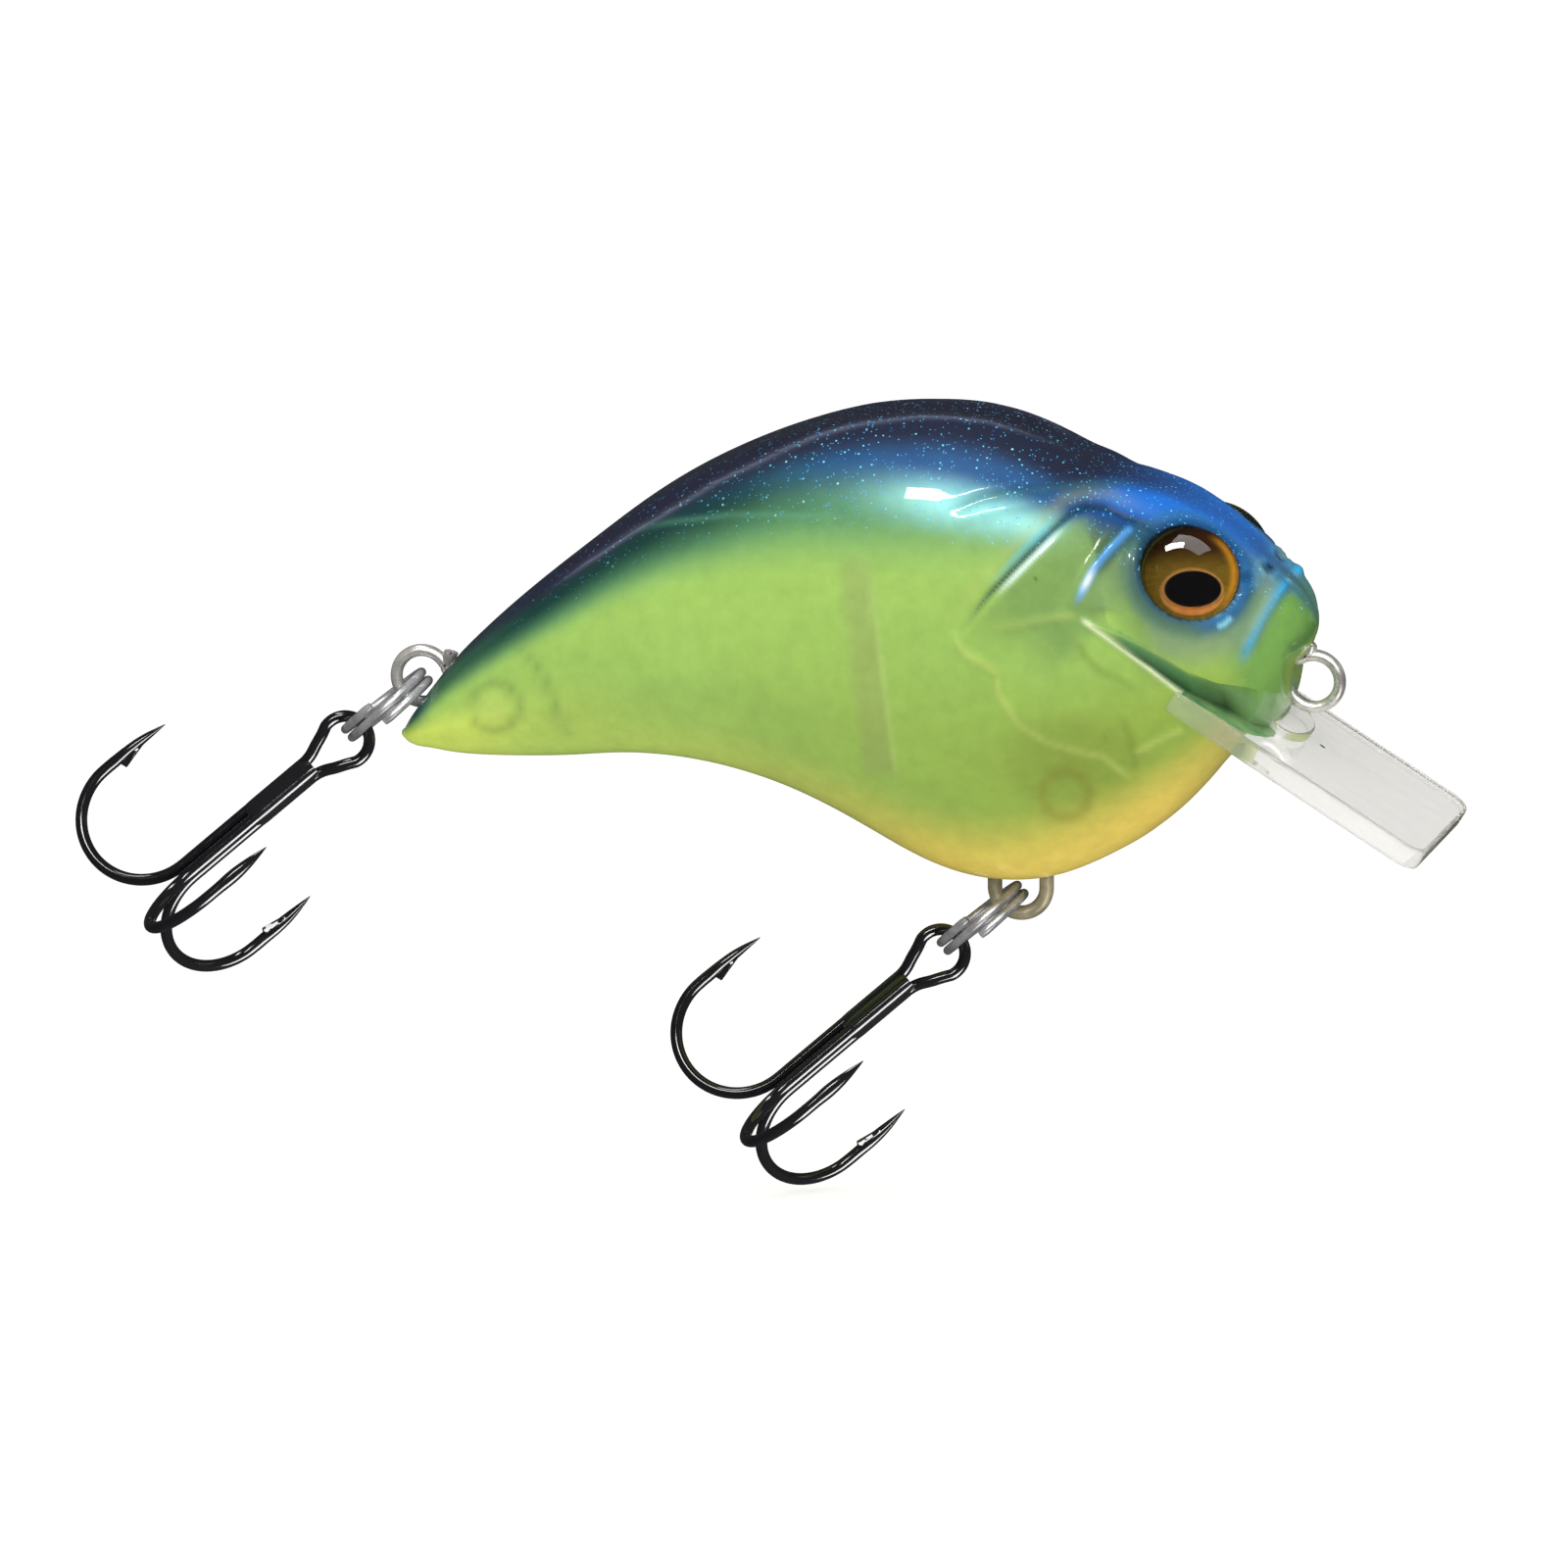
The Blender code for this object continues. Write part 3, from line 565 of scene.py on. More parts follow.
def wire_look(name, colour, roughness, scratch, metallic):
    """Drawn wire: metal with fine lengthwise scuffs and slight staining."""
    look = Look(name)
    look.set(Metallic=metallic)
    stain = look.remap(look.noise(700.0, 4.0, 0.6), 0.42, 0.66, 0.0, 1.0)
    look.drive("Base Color", look.mix(stain, colour + (1.0,), tuple(c * 0.62 for c in colour) + (1.0,)))
    look.drive("Roughness", look.remap(look.noise(2200.0, 3.0), 0.3, 0.7, roughness - 0.06, roughness + 0.08))
    look.bump(look.noise(5000.0, stretch=(0.2, 1.0, 1.0)), scratch, 0.00002)
    return look.material


def plated_look(name, black, rough_noise, rough, bump_noise, bump):
    """Black nickel plating: a near-black mirror with a faint orange-peel."""
    look = Look(name)
    look.set(Base_Color=black, IOR=1.55)
    look.drive("Roughness", look.remap(look.noise(*rough_noise), 0.35, 0.7, *rough))
    look.bump(look.noise(*bump_noise), *bump)
    return look.material


def lead_look(name, colour):
    look = Look(name)
    look.set(Metallic=1.0)
    dull = tuple(c * 0.7 for c in colour) + (1.0,)
    look.drive("Base Color", look.mix(look.noise(600.0, 4.0), dull, colour + (1.0,)))
    look.drive("Roughness", look.remap(look.noise(900.0, 3.0), 0.3, 0.7, 0.35, 0.55))
    look.bump(look.noise(1500.0, 3.0), 0.3, 0.00005)
    return look.material


def printed_look(name, attribute, roughness, metallic):
    """Print that takes its colours from the piece's own vertices, with a brushed shimmer."""
    look = Look(name)
    look.set(Roughness=roughness, Metallic=metallic, Specular_IOR_Level=0.05)
    shimmer = look.remap(look.noise(2400.0, 3.0), 0.3, 0.7, 0.88, 1.1)
    look.drive("Base Color", look.scaled(look.attribute(attribute), shimmer))
    return look.material


def store(obj, name, values):
    """Writes one float or colour for each vertex."""
    values = np.asarray(values, np.float32)
    if values.ndim == 1:
        layer = obj.data.attributes.new(name, "FLOAT", "POINT")
        layer.data.foreach_set("value", values)
    else:
        layer = obj.data.attributes.new(name, "FLOAT_COLOR", "POINT")
        rgba = np.ones((len(values), 4), np.float32)
        rgba[:, :3] = values
        layer.data.foreach_set("color", rgba.ravel())


# ------------------------------------------------------------------ body skin
FINE_STEP = 0.05
EASE_STEPS = 80


def section_table(xs):
    """The six section values at every station, eased along the body behind the head."""
    table = np.asarray(BODY, float)
    fine = np.arange(BODY[0][0], BODY[-1][0] + 1e-9, FINE_STEP)
    kernel = np.exp(-0.5 * (np.arange(-EASE_STEPS, EASE_STEPS + 1) * FINE_STEP / SMOOTHING) ** 2)
    kernel /= kernel.sum()
    out = []
    for column in range(1, 7):
        raw = eased(table[:, 0], table[:, column], fine)
        padded = np.concatenate([2 * raw[0] - raw[EASE_STEPS:0:-1], raw,
                                 2 * raw[-1] - raw[-2:-EASE_STEPS - 2:-1]])
        soft = np.convolve(padded, kernel, mode="valid")
        keep = np.clip(smoothstep(-13.0, -9.0, fine) + smoothstep(-57.5, -58.8, fine), 0, 1)
        out.append(np.interp(xs, fine, soft * (1 - keep) + raw * keep))
    return np.array(out).T


def skin_outline(top, bottom, wide, middle, above, below):
    """Half of a section as (|y|, z), from the back's centre line round to the belly's."""
    flat = min(DORSAL_FLAT, 0.45 * wide)
    rows = [(flat * i / FLAT_POINTS, top) for i in range(FLAT_POINTS)]
    for i in range(UPPER_POINTS + 1):
        angle = 0.5 * math.pi * i / UPPER_POINTS
        rows.append((flat + (wide - flat) * math.sin(angle) ** (2 / above),
                     middle + (top - middle) * math.cos(angle) ** (2 / above)))
    for i in range(1, LOWER_POINTS + 1):
        angle = 0.5 * math.pi * i / LOWER_POINTS
        rows.append((wide * max(math.cos(angle), 0.0) ** (2 / below),
                     middle - (middle - bottom) * math.sin(angle) ** (2 / below)))
    rows[-1] = (0.0, rows[-1][1])
    return rows


# Raised and sunk lines: the line, height, width, distance off the line, and the parts over which it fades
# in and out
RAISED_LINES = [
    (GILL_EDGE, -0.16, 0.22, 0.0, 0.12, 0.25),
    (GILL_LOWER, 0.13, 0.3, 0.0, 0.0, 0.1),
    (GILL_CHIN, 0.09, 0.26, 0.0, 0.1, 0.2),
    (THROAT_FOLD, 0.08, 0.26, 0.0, 0.1, 0.2),
    (THROAT_LINE, 0.12, 0.2, 0.0, 0.1, 0.2),
    (CHEEK_CREASE, 0.07, 0.34, 0.0, 0.1, 0.2),
    (JAW_FOLD, 0.08, 0.3, 0.0, 0.1, 0.2),
    (CHEEK_RIDGE, 0.42, 0.42, 0.0, 0.12, 0.22),
    (SHOULDER, -0.1, 0.35, 0.0, 0.2, 0.3),
    (SHOULDER, 0.1, 0.45, 0.75, 0.2, 0.3),
    (JAW_LEDGE, 0.12, 0.24, 0.0, 0.1, 0.0),
    (MOUTH, 0.34, 0.4, 0.0, 0.12, 0.25),
    (NOSE_FOLD, -0.12, 0.35, 0.0, 0.15, 0.2),
]


def body_relief(across, up, x, y, z):
    """Height of the moulded details above the plain body, and the distance from the eye's axis."""
    side_on = smoothstep(1.5, 3.5, y)
    height = np.zeros(across.shape)
    for line, high, width, off, start, end in RAISED_LINES:
        height += high * stroke(across, up, line, width, start, end, off)
    # the gill plate and the cheek's front stand proud of what is behind them
    gap, along, side = trace(across, up, GILL_EDGE)
    step = (side > 0) * smoothstep(0.0, 0.28, gap) * (1 - smoothstep(0.6, 4.2, gap))
    height += 0.34 * step * taper(along, 0.1, 0.2)
    gap, along, side = trace(across, up, CHEEK_RIDGE)
    step = (side > 0) * smoothstep(0.1, 0.7, gap) * (1 - smoothstep(1.0, 3.2, gap))
    height += 0.16 * step * taper(along, 0.1, 0.1)
    for spot in NOSTRILS:
        gap = apart(across, up, spot)
        pit = 0.06 * bell(gap - 0.55, 0.22) - 0.3 * bell(gap, 0.42)
        height += pit * smoothstep(0.5, 1.4, y) / np.maximum(side_on, 0.15)
    for spot in SNOUT_PITS:
        height += 0.1 * bell(apart(across, up, spot) - 0.3, 0.18)
    height = height * side_on

    # rim round the eye's socket
    normal = np.array(DOLL_EYE_NORMAL) / np.linalg.norm(DOLL_EYE_NORMAL)
    offset = np.stack([x, y, z], axis=-1) - DOLL_EYE
    depth = offset @ normal
    flat = offset - depth[..., None] * normal
    from_axis = np.linalg.norm(flat, axis=-1)
    near_eye = (np.abs(depth) < 4.0) * side_on * (1 - smoothstep(0.2, 2.4, flat[..., 2]))
    height += near_eye * (0.34 * bell(from_axis - 3.55, 0.4) + 0.12 * bell(from_axis - 4.3, 0.8))
    height += 0.1 * stroke(across, up, BACK_EDGE, 0.34, 0.1, 0.2)
    return height, from_axis


def hollow_rows(x):
    """The cheek hollow's lower |y| and z and upper |y| and z at any x."""
    rows = np.asarray(CHEEK_HOLLOW)
    return [np.interp(x, rows[:, 0], rows[:, k]) for k in range(1, 5)]


OUTSIDE = 12.0              # a |y| well clear of the body


def hollow_cutter(side):
    sections = []
    for x in np.linspace(CHEEK_HOLLOW[0][0], CHEEK_HOLLOW[-1][0], 90):
        low_y, low_z, high_y, high_z = hollow_rows(x)
        inner = []
        for k in range(13):
            t = k / 12
            sag = 0.12 * math.sin(math.pi * t) * min(1.0, (high_z - low_z) / 2)
            inner.append((low_y + (high_y - low_y) * t - sag, low_z + (high_z - low_z) * t))
        outline = inner + [(OUTSIDE, high_z + 0.02), (OUTSIDE, low_z - 0.02)]
        sections.append([(x, side * y, z) for y, z in outline])
    return loft(sections)


# Paint colours, sRGB
LEAF = (156, 194, 92)
OLIVE = (150, 176, 64)
PAINTED_BELLY_GLOW = (236, 208, 92)
LIME = (210, 228, 96)
JADE = (66, 144, 104)
TEAL = (20, 58, 52)
PAINTED_SHOULDER_SHEEN = (146, 220, 216)
BLUE = (10, 66, 126)
BRIGHT_BLUE = (34, 126, 236)
NIGHT = (36, 38, 56)
NOSE_GREEN = (110, 162, 78)

# Sprayed coats over the leaf-green base, first to last: the colour, then stations along the body with
# x, strength, the drop where the coat is full and the drop where it has faded (0 at the back, 1 at the
# belly).
# The coats' colours are the body's colours as they looked when lit, so besides the paint they carry some
# painted shade and light.
COATS = [
    (OLIVE, [
        (-40.0, 0.0, 0.8, 0.45), (-24.0, 0.5, 0.8, 0.45), (-10.0, 0.8, 0.75, 0.45),
        (-4.0, 0.5, 0.75, 0.45)]),
    # painted light: a yellow glow along the belly's lower edge, where light passes through the translucent
    # body
    (PAINTED_BELLY_GLOW, [
        (-48.0, 0.0, 1.0, 0.88), (-30.0, 0.4, 1.0, 0.85), (-23.0, 0.95, 1.0, 0.84),
        (-10.0, 1.0, 0.98, 0.8), (-4.0, 0.5, 1.0, 0.8), (-1.0, 0.0, 1.0, 0.8)]),
    (LIME, [
        (-60.0, 1.0, 0.8, 0.45), (-56.0, 0.9, 0.8, 0.45), (-50.0, 0.4, 0.9, 0.5), (-40.0, 0.3, 1.0, 0.75),
        (-32.0, 0.0, 1.0, 0.75)]),
    (JADE, [
        (-60.0, 0.5, 0.25, 0.55), (-50.0, 0.8, 0.24, 0.44), (-40.0, 0.8, 0.24, 0.44),
        (-30.0, 0.8, 0.22, 0.42), (-23.0, 0.6, 0.22, 0.38), (-16.0, 0.4, 0.22, 0.34),
        (-13.0, 0.0, 0.22, 0.34)]),
    (TEAL, [
        (-60.0, 0.7, 0.2, 0.55), (-54.0, 0.9, 0.2, 0.44), (-50.0, 1.0, 0.19, 0.4),
        (-40.0, 1.0, 0.17, 0.38), (-30.0, 0.7, 0.12, 0.34), (-23.0, 0.3, 0.18, 0.34),
        (-16.0, 0.2, 0.2, 0.38), (-12.5, 0.8, 0.18, 0.4), (-9.0, 0.75, 0.2, 0.66),
        (-5.0, 0.65, 0.22, 0.66), (-2.0, 0.1, 0.2, 0.5)]),
    (NOSE_GREEN, [
        (-5.0, 0.0, 0.9, 1.0), (-2.5, 0.8, 0.9, 1.0), (-1.0, 1.0, 0.9, 1.0)]),
    # painted sheen: a cyan glow painted round the shoulder's highlight
    (PAINTED_SHOULDER_SHEEN, [
        (-36.0, 0.0, 0.18, 0.26), (-30.0, 0.12, 0.18, 0.28), (-26.0, 0.55, 0.19, 0.29),
        (-22.5, 1.0, 0.2, 0.29), (-17.0, 0.8, 0.2, 0.28), (-13.0, 0.0, 0.19, 0.26)]),
    (BLUE, [
        (-43.0, 0.0, 0.1, 0.2), (-36.0, 0.35, 0.1, 0.22), (-30.0, 0.85, 0.11, 0.23),
        (-24.0, 0.95, 0.12, 0.21), (-17.0, 0.95, 0.13, 0.21), (-11.0, 1.0, 0.12, 0.2),
        (-5.0, 0.9, 0.17, 0.3), (-2.0, 0.5, 0.1, 0.24), (0.0, 0.3, 0.05, 0.18)]),
    (BRIGHT_BLUE, [
        (-14.0, 0.0, 0.07, 0.13), (-11.0, 0.6, 0.07, 0.14), (-8.0, 0.65, 0.1, 0.17),
        (-5.0, 0.75, 0.13, 0.2), (-2.0, 0.3, 0.1, 0.22), (-0.5, 0.1, 0.08, 0.2)]),
    (NIGHT, [
        (-60.0, 0.3, 0.04, 0.16), (-54.0, 0.8, 0.08, 0.2), (-48.0, 0.95, 0.1, 0.2),
        (-40.0, 0.9, 0.09, 0.18), (-30.0, 0.95, 0.06, 0.13), (-22.0, 0.95, 0.05, 0.12),
        (-16.0, 0.95, 0.06, 0.12), (-12.0, 0.8, 0.01, 0.06), (-7.0, 0.3, 0.0, 0.04)]),
]

PAINTED_RIDGE_HIGHLIGHT = (196, 208, 110)
PAINTED_FOLD_SHADE = (112, 132, 44)
# Lines on the cheek and throat, painted highlights on the raised lines and painted shade along the folds: the
# line, strength, width, the parts over which it fades, and the colour
CHEEK_LINES = [
    (GILL_LOWER, 0.42, 0.22, 0.05, 0.1, PAINTED_RIDGE_HIGHLIGHT),
    (GILL_CHIN, 0.38, 0.22, 0.05, 0.1, PAINTED_RIDGE_HIGHLIGHT),
    (THROAT_LINE, 0.5, 0.22, 0.05, 0.1, PAINTED_RIDGE_HIGHLIGHT),
    (CHEEK_CREASE, 0.24, 0.22, 0.05, 0.1, PAINTED_RIDGE_HIGHLIGHT),
    (JAW_FOLD, 0.3, 0.3, 0.1, 0.2, PAINTED_FOLD_SHADE),
    (THROAT_FOLD, 0.3, 0.3, 0.1, 0.2, PAINTED_FOLD_SHADE),
]


def body_paint(across, up, x, y, z, drop, from_eye, sunk, above_ledge):
    """Linear paint colour and flake strength for each vertex; the colour includes painted shade, shadows and
    highlights.
    """
    canvas = Canvas(LEAF, x.shape)
    tint = canvas.tint
    for shade, stations in COATS:
        where, strength, full, faded = np.array(stations).T
        start, end = eased(where, full, x), eased(where, faded, x)
        tint(eased(where, strength, x) * (1 - smoothstep(start, end, drop)), shade)
    side_on = smoothstep(1.5, 3.5, y)
    snout_side = smoothstep(0.5, 1.4, y)

    def draw(line, strength, width, start, end, shade, where=1.0):
        tint(strength * stroke(across, up, line, width, start, end) * where, shade)

    # painted shadows of the structure inside, seen through the translucent paint, with paler painted patches
    # beside the bulkhead and inside the tail loop
    gap, along, side = trace(across, up, BULKHEAD)
    tint(0.42 * (1 - smoothstep(0.55, 1.25, gap)) * taper(along, 0.12, 0.03) * side_on, (148, 156, 96))
    tint(0.26 * bell(gap - 1.05, 0.2) * (side > 0) * taper(along, 0.1, 0.03) * side_on, (190, 206, 132))
    draw(TAIL_RIB, 0.34, 0.3, 0.12, 0.05, (86, 120, 66))
    gap = apart(across, up, TAIL_LOOP_AT)
    tint(0.34 * bell(gap - 1.55, 0.34), (100, 128, 70))
    tint(0.25 * (1 - smoothstep(0.8, 1.2, gap)), (188, 206, 110))
    tint(0.42 * bell(apart(across, up, BELLY_RING_AT) - 1.5, 0.4) * side_on, (142, 132, 44))
    gap = np.hypot((across - BALLAST_AT[0]) / 5.2, (up - BALLAST_AT[1]) / 3.2)
    tint(0.28 * (1 - smoothstep(0.5, 1.2, gap)) * side_on, (122, 132, 50))

    # overspray round the tail wire, a painted grey highlight along the back's raised edge with dark paint
    # above it, and the flank's line
    tint(0.75 * (1 - smoothstep(-58.9, -57.4, x)) * smoothstep(-5.4, -3.2, z), (22, 74, 92))
    gap, along, side = trace(across, up, BACK_EDGE)
    # painted highlight: a grey line where the back's raised edge catches the light
    tint(0.8 * bell(gap, 0.2) * taper(along, 0.1, 0.2), (92, 98, 118))
    above = (side > 0) * (drop < 0.2)
    tint(0.7 * above * (1 - smoothstep(0.5, 1.6, gap)) * taper(along, 0.05, 0.1), (34, 32, 50))
    draw(FLANK_LINE, 0.22, 0.22, 0.3, 0.3, (110, 180, 150))

    # gill plate, painted shade in its groove, and its glint: painted highlights ahead of and behind the
    # groove
    gap, along, side = trace(across, up, GILL_EDGE)
    ahead, behind = side > 0, side < 0
    plate = ahead * side_on * smoothstep(0.15, 0.9, gap) * (1 - smoothstep(5.5, 7.5, gap))
    plate = plate * taper(along, 0.0, 0.3) * smoothstep(0.2, 0.42, along)
    plate = plate * (1 - smoothstep(-12.8, -11.0, across))
    tint(0.85 * plate * smoothstep(0.05, 0.22, drop), (122, 158, 84))
    # painted shade along the gill groove
    tint(0.85 * bell(gap, 0.2) * taper(along, 0.04, 0.3), (22, 58, 84))
    tint(0.22 * bell(gap - 1.0, 0.5) * behind * taper(along, 0.3, 0.2), (178, 186, 104))
    rise = smoothstep(0.4, 0.5, along)
    # painted highlights: a white glint on the raised gill edge and a cyan one behind it
    tint(0.88 * bell(gap - 0.36, 0.17) * ahead * rise * (1 - smoothstep(0.66, 0.8, along)), (226, 250, 244))
    tint(0.6 * bell(gap - 0.42, 0.18) * behind * rise * (1 - smoothstep(0.6, 0.8, along)), (96, 200, 220))
    # painted highlights and painted shade along the cheek's and throat's lines
    for row in CHEEK_LINES:
        draw(*row, where=side_on)

    # cheek ridge, with a painted blue highlight along it and a painted white highlight at its end, a dark
    # line beside it, and a dull green strip ahead of it
    gap, along, side = trace(across, up, CHEEK_RIDGE)
    fade = (1 - smoothstep(0.74, 0.95, along)) * taper(along, 0.06, 0.0)
    tint(0.95 * bell(gap, 0.24) * fade, (84, 164, 236))
    tint(0.55 * bell(gap - 0.42, 0.16) * (side > 0) * (1 - smoothstep(0.4, 0.8, along)), (34, 84, 116))
    tint(0.95 * bell(gap, 0.2) * bell(along - 0.66, 0.1), (244, 252, 255))
    strip = (side > 0) * smoothstep(0.3, 0.9, gap) * (1 - smoothstep(1.8, 3.4, gap))
    tint(0.55 * strip * taper(along, 0.3, 0.2), (118, 150, 98))
    # painted shade along the shoulder's groove
    draw(SHOULDER, 0.45, 0.3, 0.15, 0.25, (44, 92, 92), side_on)

    # mouth with a painted highlight at its top, nose with painted shade in its fold, and nostrils with
    # painted shade in the pits and painted highlight rings round them
    gap, along, side = trace(across, up, MOUTH)
    tint(0.95 * bell(gap, 0.34) * taper(along, 0.05, 0.25) * smoothstep(0.5, 1.8, y), (40, 172, 228))
    mouth_top = (MOUTH[0][0], MOUTH[0][1] - 0.55)
    # painted highlight at the top of the mouth's ridge
    tint(0.9 * bell(apart(across, up, mouth_top), 0.26) * snout_side, (235, 250, 255))
    tint(0.35 * bell(gap, 1.6) * (side < 0) * taper(along, 0.0, 0.2) * side_on, (44, 110, 130))
    ahead = (side > 0) * side_on * (across > -4.6)
    tint(0.7 * ahead * smoothstep(0.4, 0.9, gap) * (1 - smoothstep(4.5, 6.0, gap)), (118, 166, 76))
    mouth_flake = 0.5 * bell(gap, 0.7) * side_on
    # painted shade in the nose's fold
    draw(NOSE_FOLD, 0.55, 0.4, 0.1, 0.2, (56, 104, 48))
    for spot in NOSTRILS:
        gap = apart(across, up, spot)
        # painted highlight ring round each nostril, then painted shade in the pit
        tint(0.6 * bell(gap - 0.62, 0.26) * snout_side, (70, 160, 210))
        tint(0.95 * bell(gap, 0.36) * snout_side, (12, 26, 36))
    for spot in PAINT_SPOTS:
        tint(0.8 * bell(apart(across, up, spot), 0.11) * side_on, (60, 90, 50))

    # blue overspray round the eye, and painted highlights (glints) on the skin ahead of it
    below = side_on * (1 - smoothstep(-1.5, 2.5, z - DOLL_EYE[2]))
    tint(0.65 * bell(from_eye - 4.9, 0.9) * below * smoothstep(-11.8, -9.4, across), (136, 160, 124))
    tint(0.85 * bell(from_eye - 3.45, 0.45) * side_on, (18, 62, 96))
    tint(0.45 * bell(from_eye - 4.1, 0.5) * side_on, (56, 104, 116))
    ahead_of_eye = smoothstep(-8.6, -6.0, across) * (1 - smoothstep(-3.5, -2.5, across))
    tint(0.75 * bell(from_eye - 3.75, 0.4) * below * ahead_of_eye, (24, 104, 170))
    # painted highlights: glints on the skin ahead of the eye
    for line in PAINTED_EYE_GLINTS:
        draw(line, 0.95, 0.16, 0.2, 0.2, (150, 226, 250), side_on)

    # painted green shade in the hollow under the cheek, a painted highlight on its ledge, and painted shade
    # in the eye's socket
    deep = smoothstep(0.02, 0.35, sunk) * smoothstep(-12.6, -10.4, x)
    front = smoothstep(-7.5, -4.0, x)
    tint(0.88 * deep, (84, 140, 96))
    tint(0.8 * deep * front, (144, 182, 118))
    tint(0.3 * deep * (1 - smoothstep(0.0, 0.9, above_ledge)) * (1 - 0.7 * front), (40, 96, 74))
    draw(JAW_LEDGE, 0.9, 0.17, 0.08, 0.0, (232, 242, 200), y > 5.5)
    tint(0.9 * (from_eye < 3.3) * (y > 2.0) * (z > 2.0), (14, 34, 44))

    flake = (1 - smoothstep(0.2, 0.34, drop)) * smoothstep(-58.0, -44.0, x)
    flake = np.maximum(flake * smoothstep(-44.0, -26.0, x) ** 0.5, 0.35 * flake) * (1 - 0.85 * plate)
    flake = np.maximum(flake, mouth_flake)
    flake = np.maximum(flake, 0.12 * bell(from_eye - 4.2, 0.9) * side_on)
    return canvas.colour, np.clip(flake, 0.0, 1.0)


# The ends of the body close on short rounded caps: share of the end section, and how far past it
TAIL_CAP = [(0.2, -0.24), (0.5, -0.2), (0.8, -0.1)]
NOSE_CAP = [(0.9, 0.05), (0.72, 0.1), (0.45, 0.13), (0.18, 0.145)]
CREASE_ANGLE = 38.0
TAIL_STATIONS = (-59.75, -59.62, -59.45, -59.2, -58.9, -58.5, -58.0, -57.5)
SOCKET_REACH = 5.0
ROUND_SIDES = 96


def drawn(x, y, z):
    """Where a point (x, |y|, z) falls on the drawing plane."""
    return DRAW_ACROSS[0] * x - DRAW_ACROSS[1] * y, DRAW_UP[0] * x - DRAW_UP[1] * y + DRAW_UP[2] * z


def skin_grid():
    """Right half of the plain body as rows of sections, closed by its caps: xs, then x, |y|, z grids."""
    xs = np.concatenate([
        np.array(TAIL_STATIONS),
        np.arange(TAIL_STATIONS[-1] + 0.5, HEAD_FROM, REAR_STEP),
        np.arange(HEAD_FROM, NOSE_FROM, HEAD_STEP),
        np.arange(NOSE_FROM, BODY[-1][0] + 1e-6, NOSE_STEP),
    ])
    rows = section_table(xs)
    outlines = [skin_outline(*row) for row in rows]

    def shrunk(outline, share):
        middle = 0.5 * (outline[0][1] + outline[-1][1])
        return [(y * share, middle + (z - middle) * share) for y, z in outline]

    start = [shrunk(outlines[0], share) for share, _ in TAIL_CAP]
    end = [shrunk(outlines[-1], share) for share, _ in NOSE_CAP]
    xs = np.concatenate([[xs[0] + push for _, push in TAIL_CAP], xs, [xs[-1] + push for _, push in NOSE_CAP]])
    grid = np.array(start + outlines + end)
    x = np.broadcast_to(xs[:, None], grid.shape[:2]).copy()
    return xs, x, grid[..., 0], grid[..., 1], rows[:, 3].mean()


def raised(x, y, z, middle, relief):
    """The grid's points pushed out along its normals by the relief, as the whole body's sections."""
    place = np.stack([x, y, z], axis=-1)
    normal = np.cross(np.gradient(place, axis=0), np.gradient(place, axis=1))
    normal /= np.maximum(np.linalg.norm(normal, axis=-1, keepdims=True), 1e-9)
    away = np.stack([np.zeros_like(x), y + 0.01, z - middle], axis=-1)
    outward = np.sign(np.sum(normal * away, axis=-1))
    flip = np.where(np.median(outward, axis=1) < 0, -1.0, 1.0)[:, None, None]
    place = place + normal * flip * relief[..., None]
    place[:, 0, 1] = 0.0
    place[:, -1, 1] = 0.0
    place[..., 1] = np.maximum(place[..., 1], 0.0)
    # the right half, then the left half back up
    return np.concatenate([place * np.array((1.0, -1.0, 1.0)), place[:, -2:0:-1, :]], axis=1)


def paint_skin(skin, xs, highest, lowest):
    """Paints every vertex from where it lies; highest and lowest are the drawn edges at the stations."""
    place = np.empty(len(skin.data.vertices) * 3)
    skin.data.vertices.foreach_get("co", place)
    x, y, z = (place.reshape(-1, 3) / MM).T
    y = np.abs(y)
    across, up = drawn(x, y, z)
    top_here, low_here = np.interp(x, xs, highest), np.interp(x, xs, lowest)
    drop = np.clip((top_here - up) / (top_here - low_here), 0.0, 1.0)
    _, from_eye = body_relief(across, up, x, y, z)
    _, low_z, high_y, high_z = hollow_rows(x)
    within = (x > CHEEK_HOLLOW[0][0]) * (z > low_z - 0.03) * (z < high_z + 0.03)
    sunk = within * np.clip(high_y - y - 0.05, 0.0, 9.0)
    colour, flake = body_paint(across, up, x, y, z, drop, from_eye, sunk, z - low_z)
    # the stored colour holds the paint together with the painted shade, shadows and highlights
    store(skin, "paint", colour)
    store(skin, "flake", flake)


def build_skin():
    xs, x, y, z, middle = skin_grid()
    across, up = drawn(x, y, z)
    relief, _ = body_relief(across, up, x, y, z)
    points, faces = loft(list(raised(x, y, z, middle, relief)))
    skin = make("painted_body_skin", points, faces, paint_look(), None, sharp=CREASE_ANGLE)
    for side in (-1.0, 1.0):
        socket = turned(side, [(SOCKET_RADIUS, -SOCKET_DEEP), (SOCKET_RADIUS, SOCKET_REACH)], ROUND_SIDES)
        combine(skin, *socket, "DIFFERENCE")
        combine(skin, *hollow_cutter(side), "DIFFERENCE")
    skin.data.set_sharp_from_angle(angle=math.radians(CREASE_ANGLE))
    paint_skin(skin, xs, up.max(axis=1), up.min(axis=1))
    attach(skin, "lure")
    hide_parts("right_body_shell", "left_body_shell")


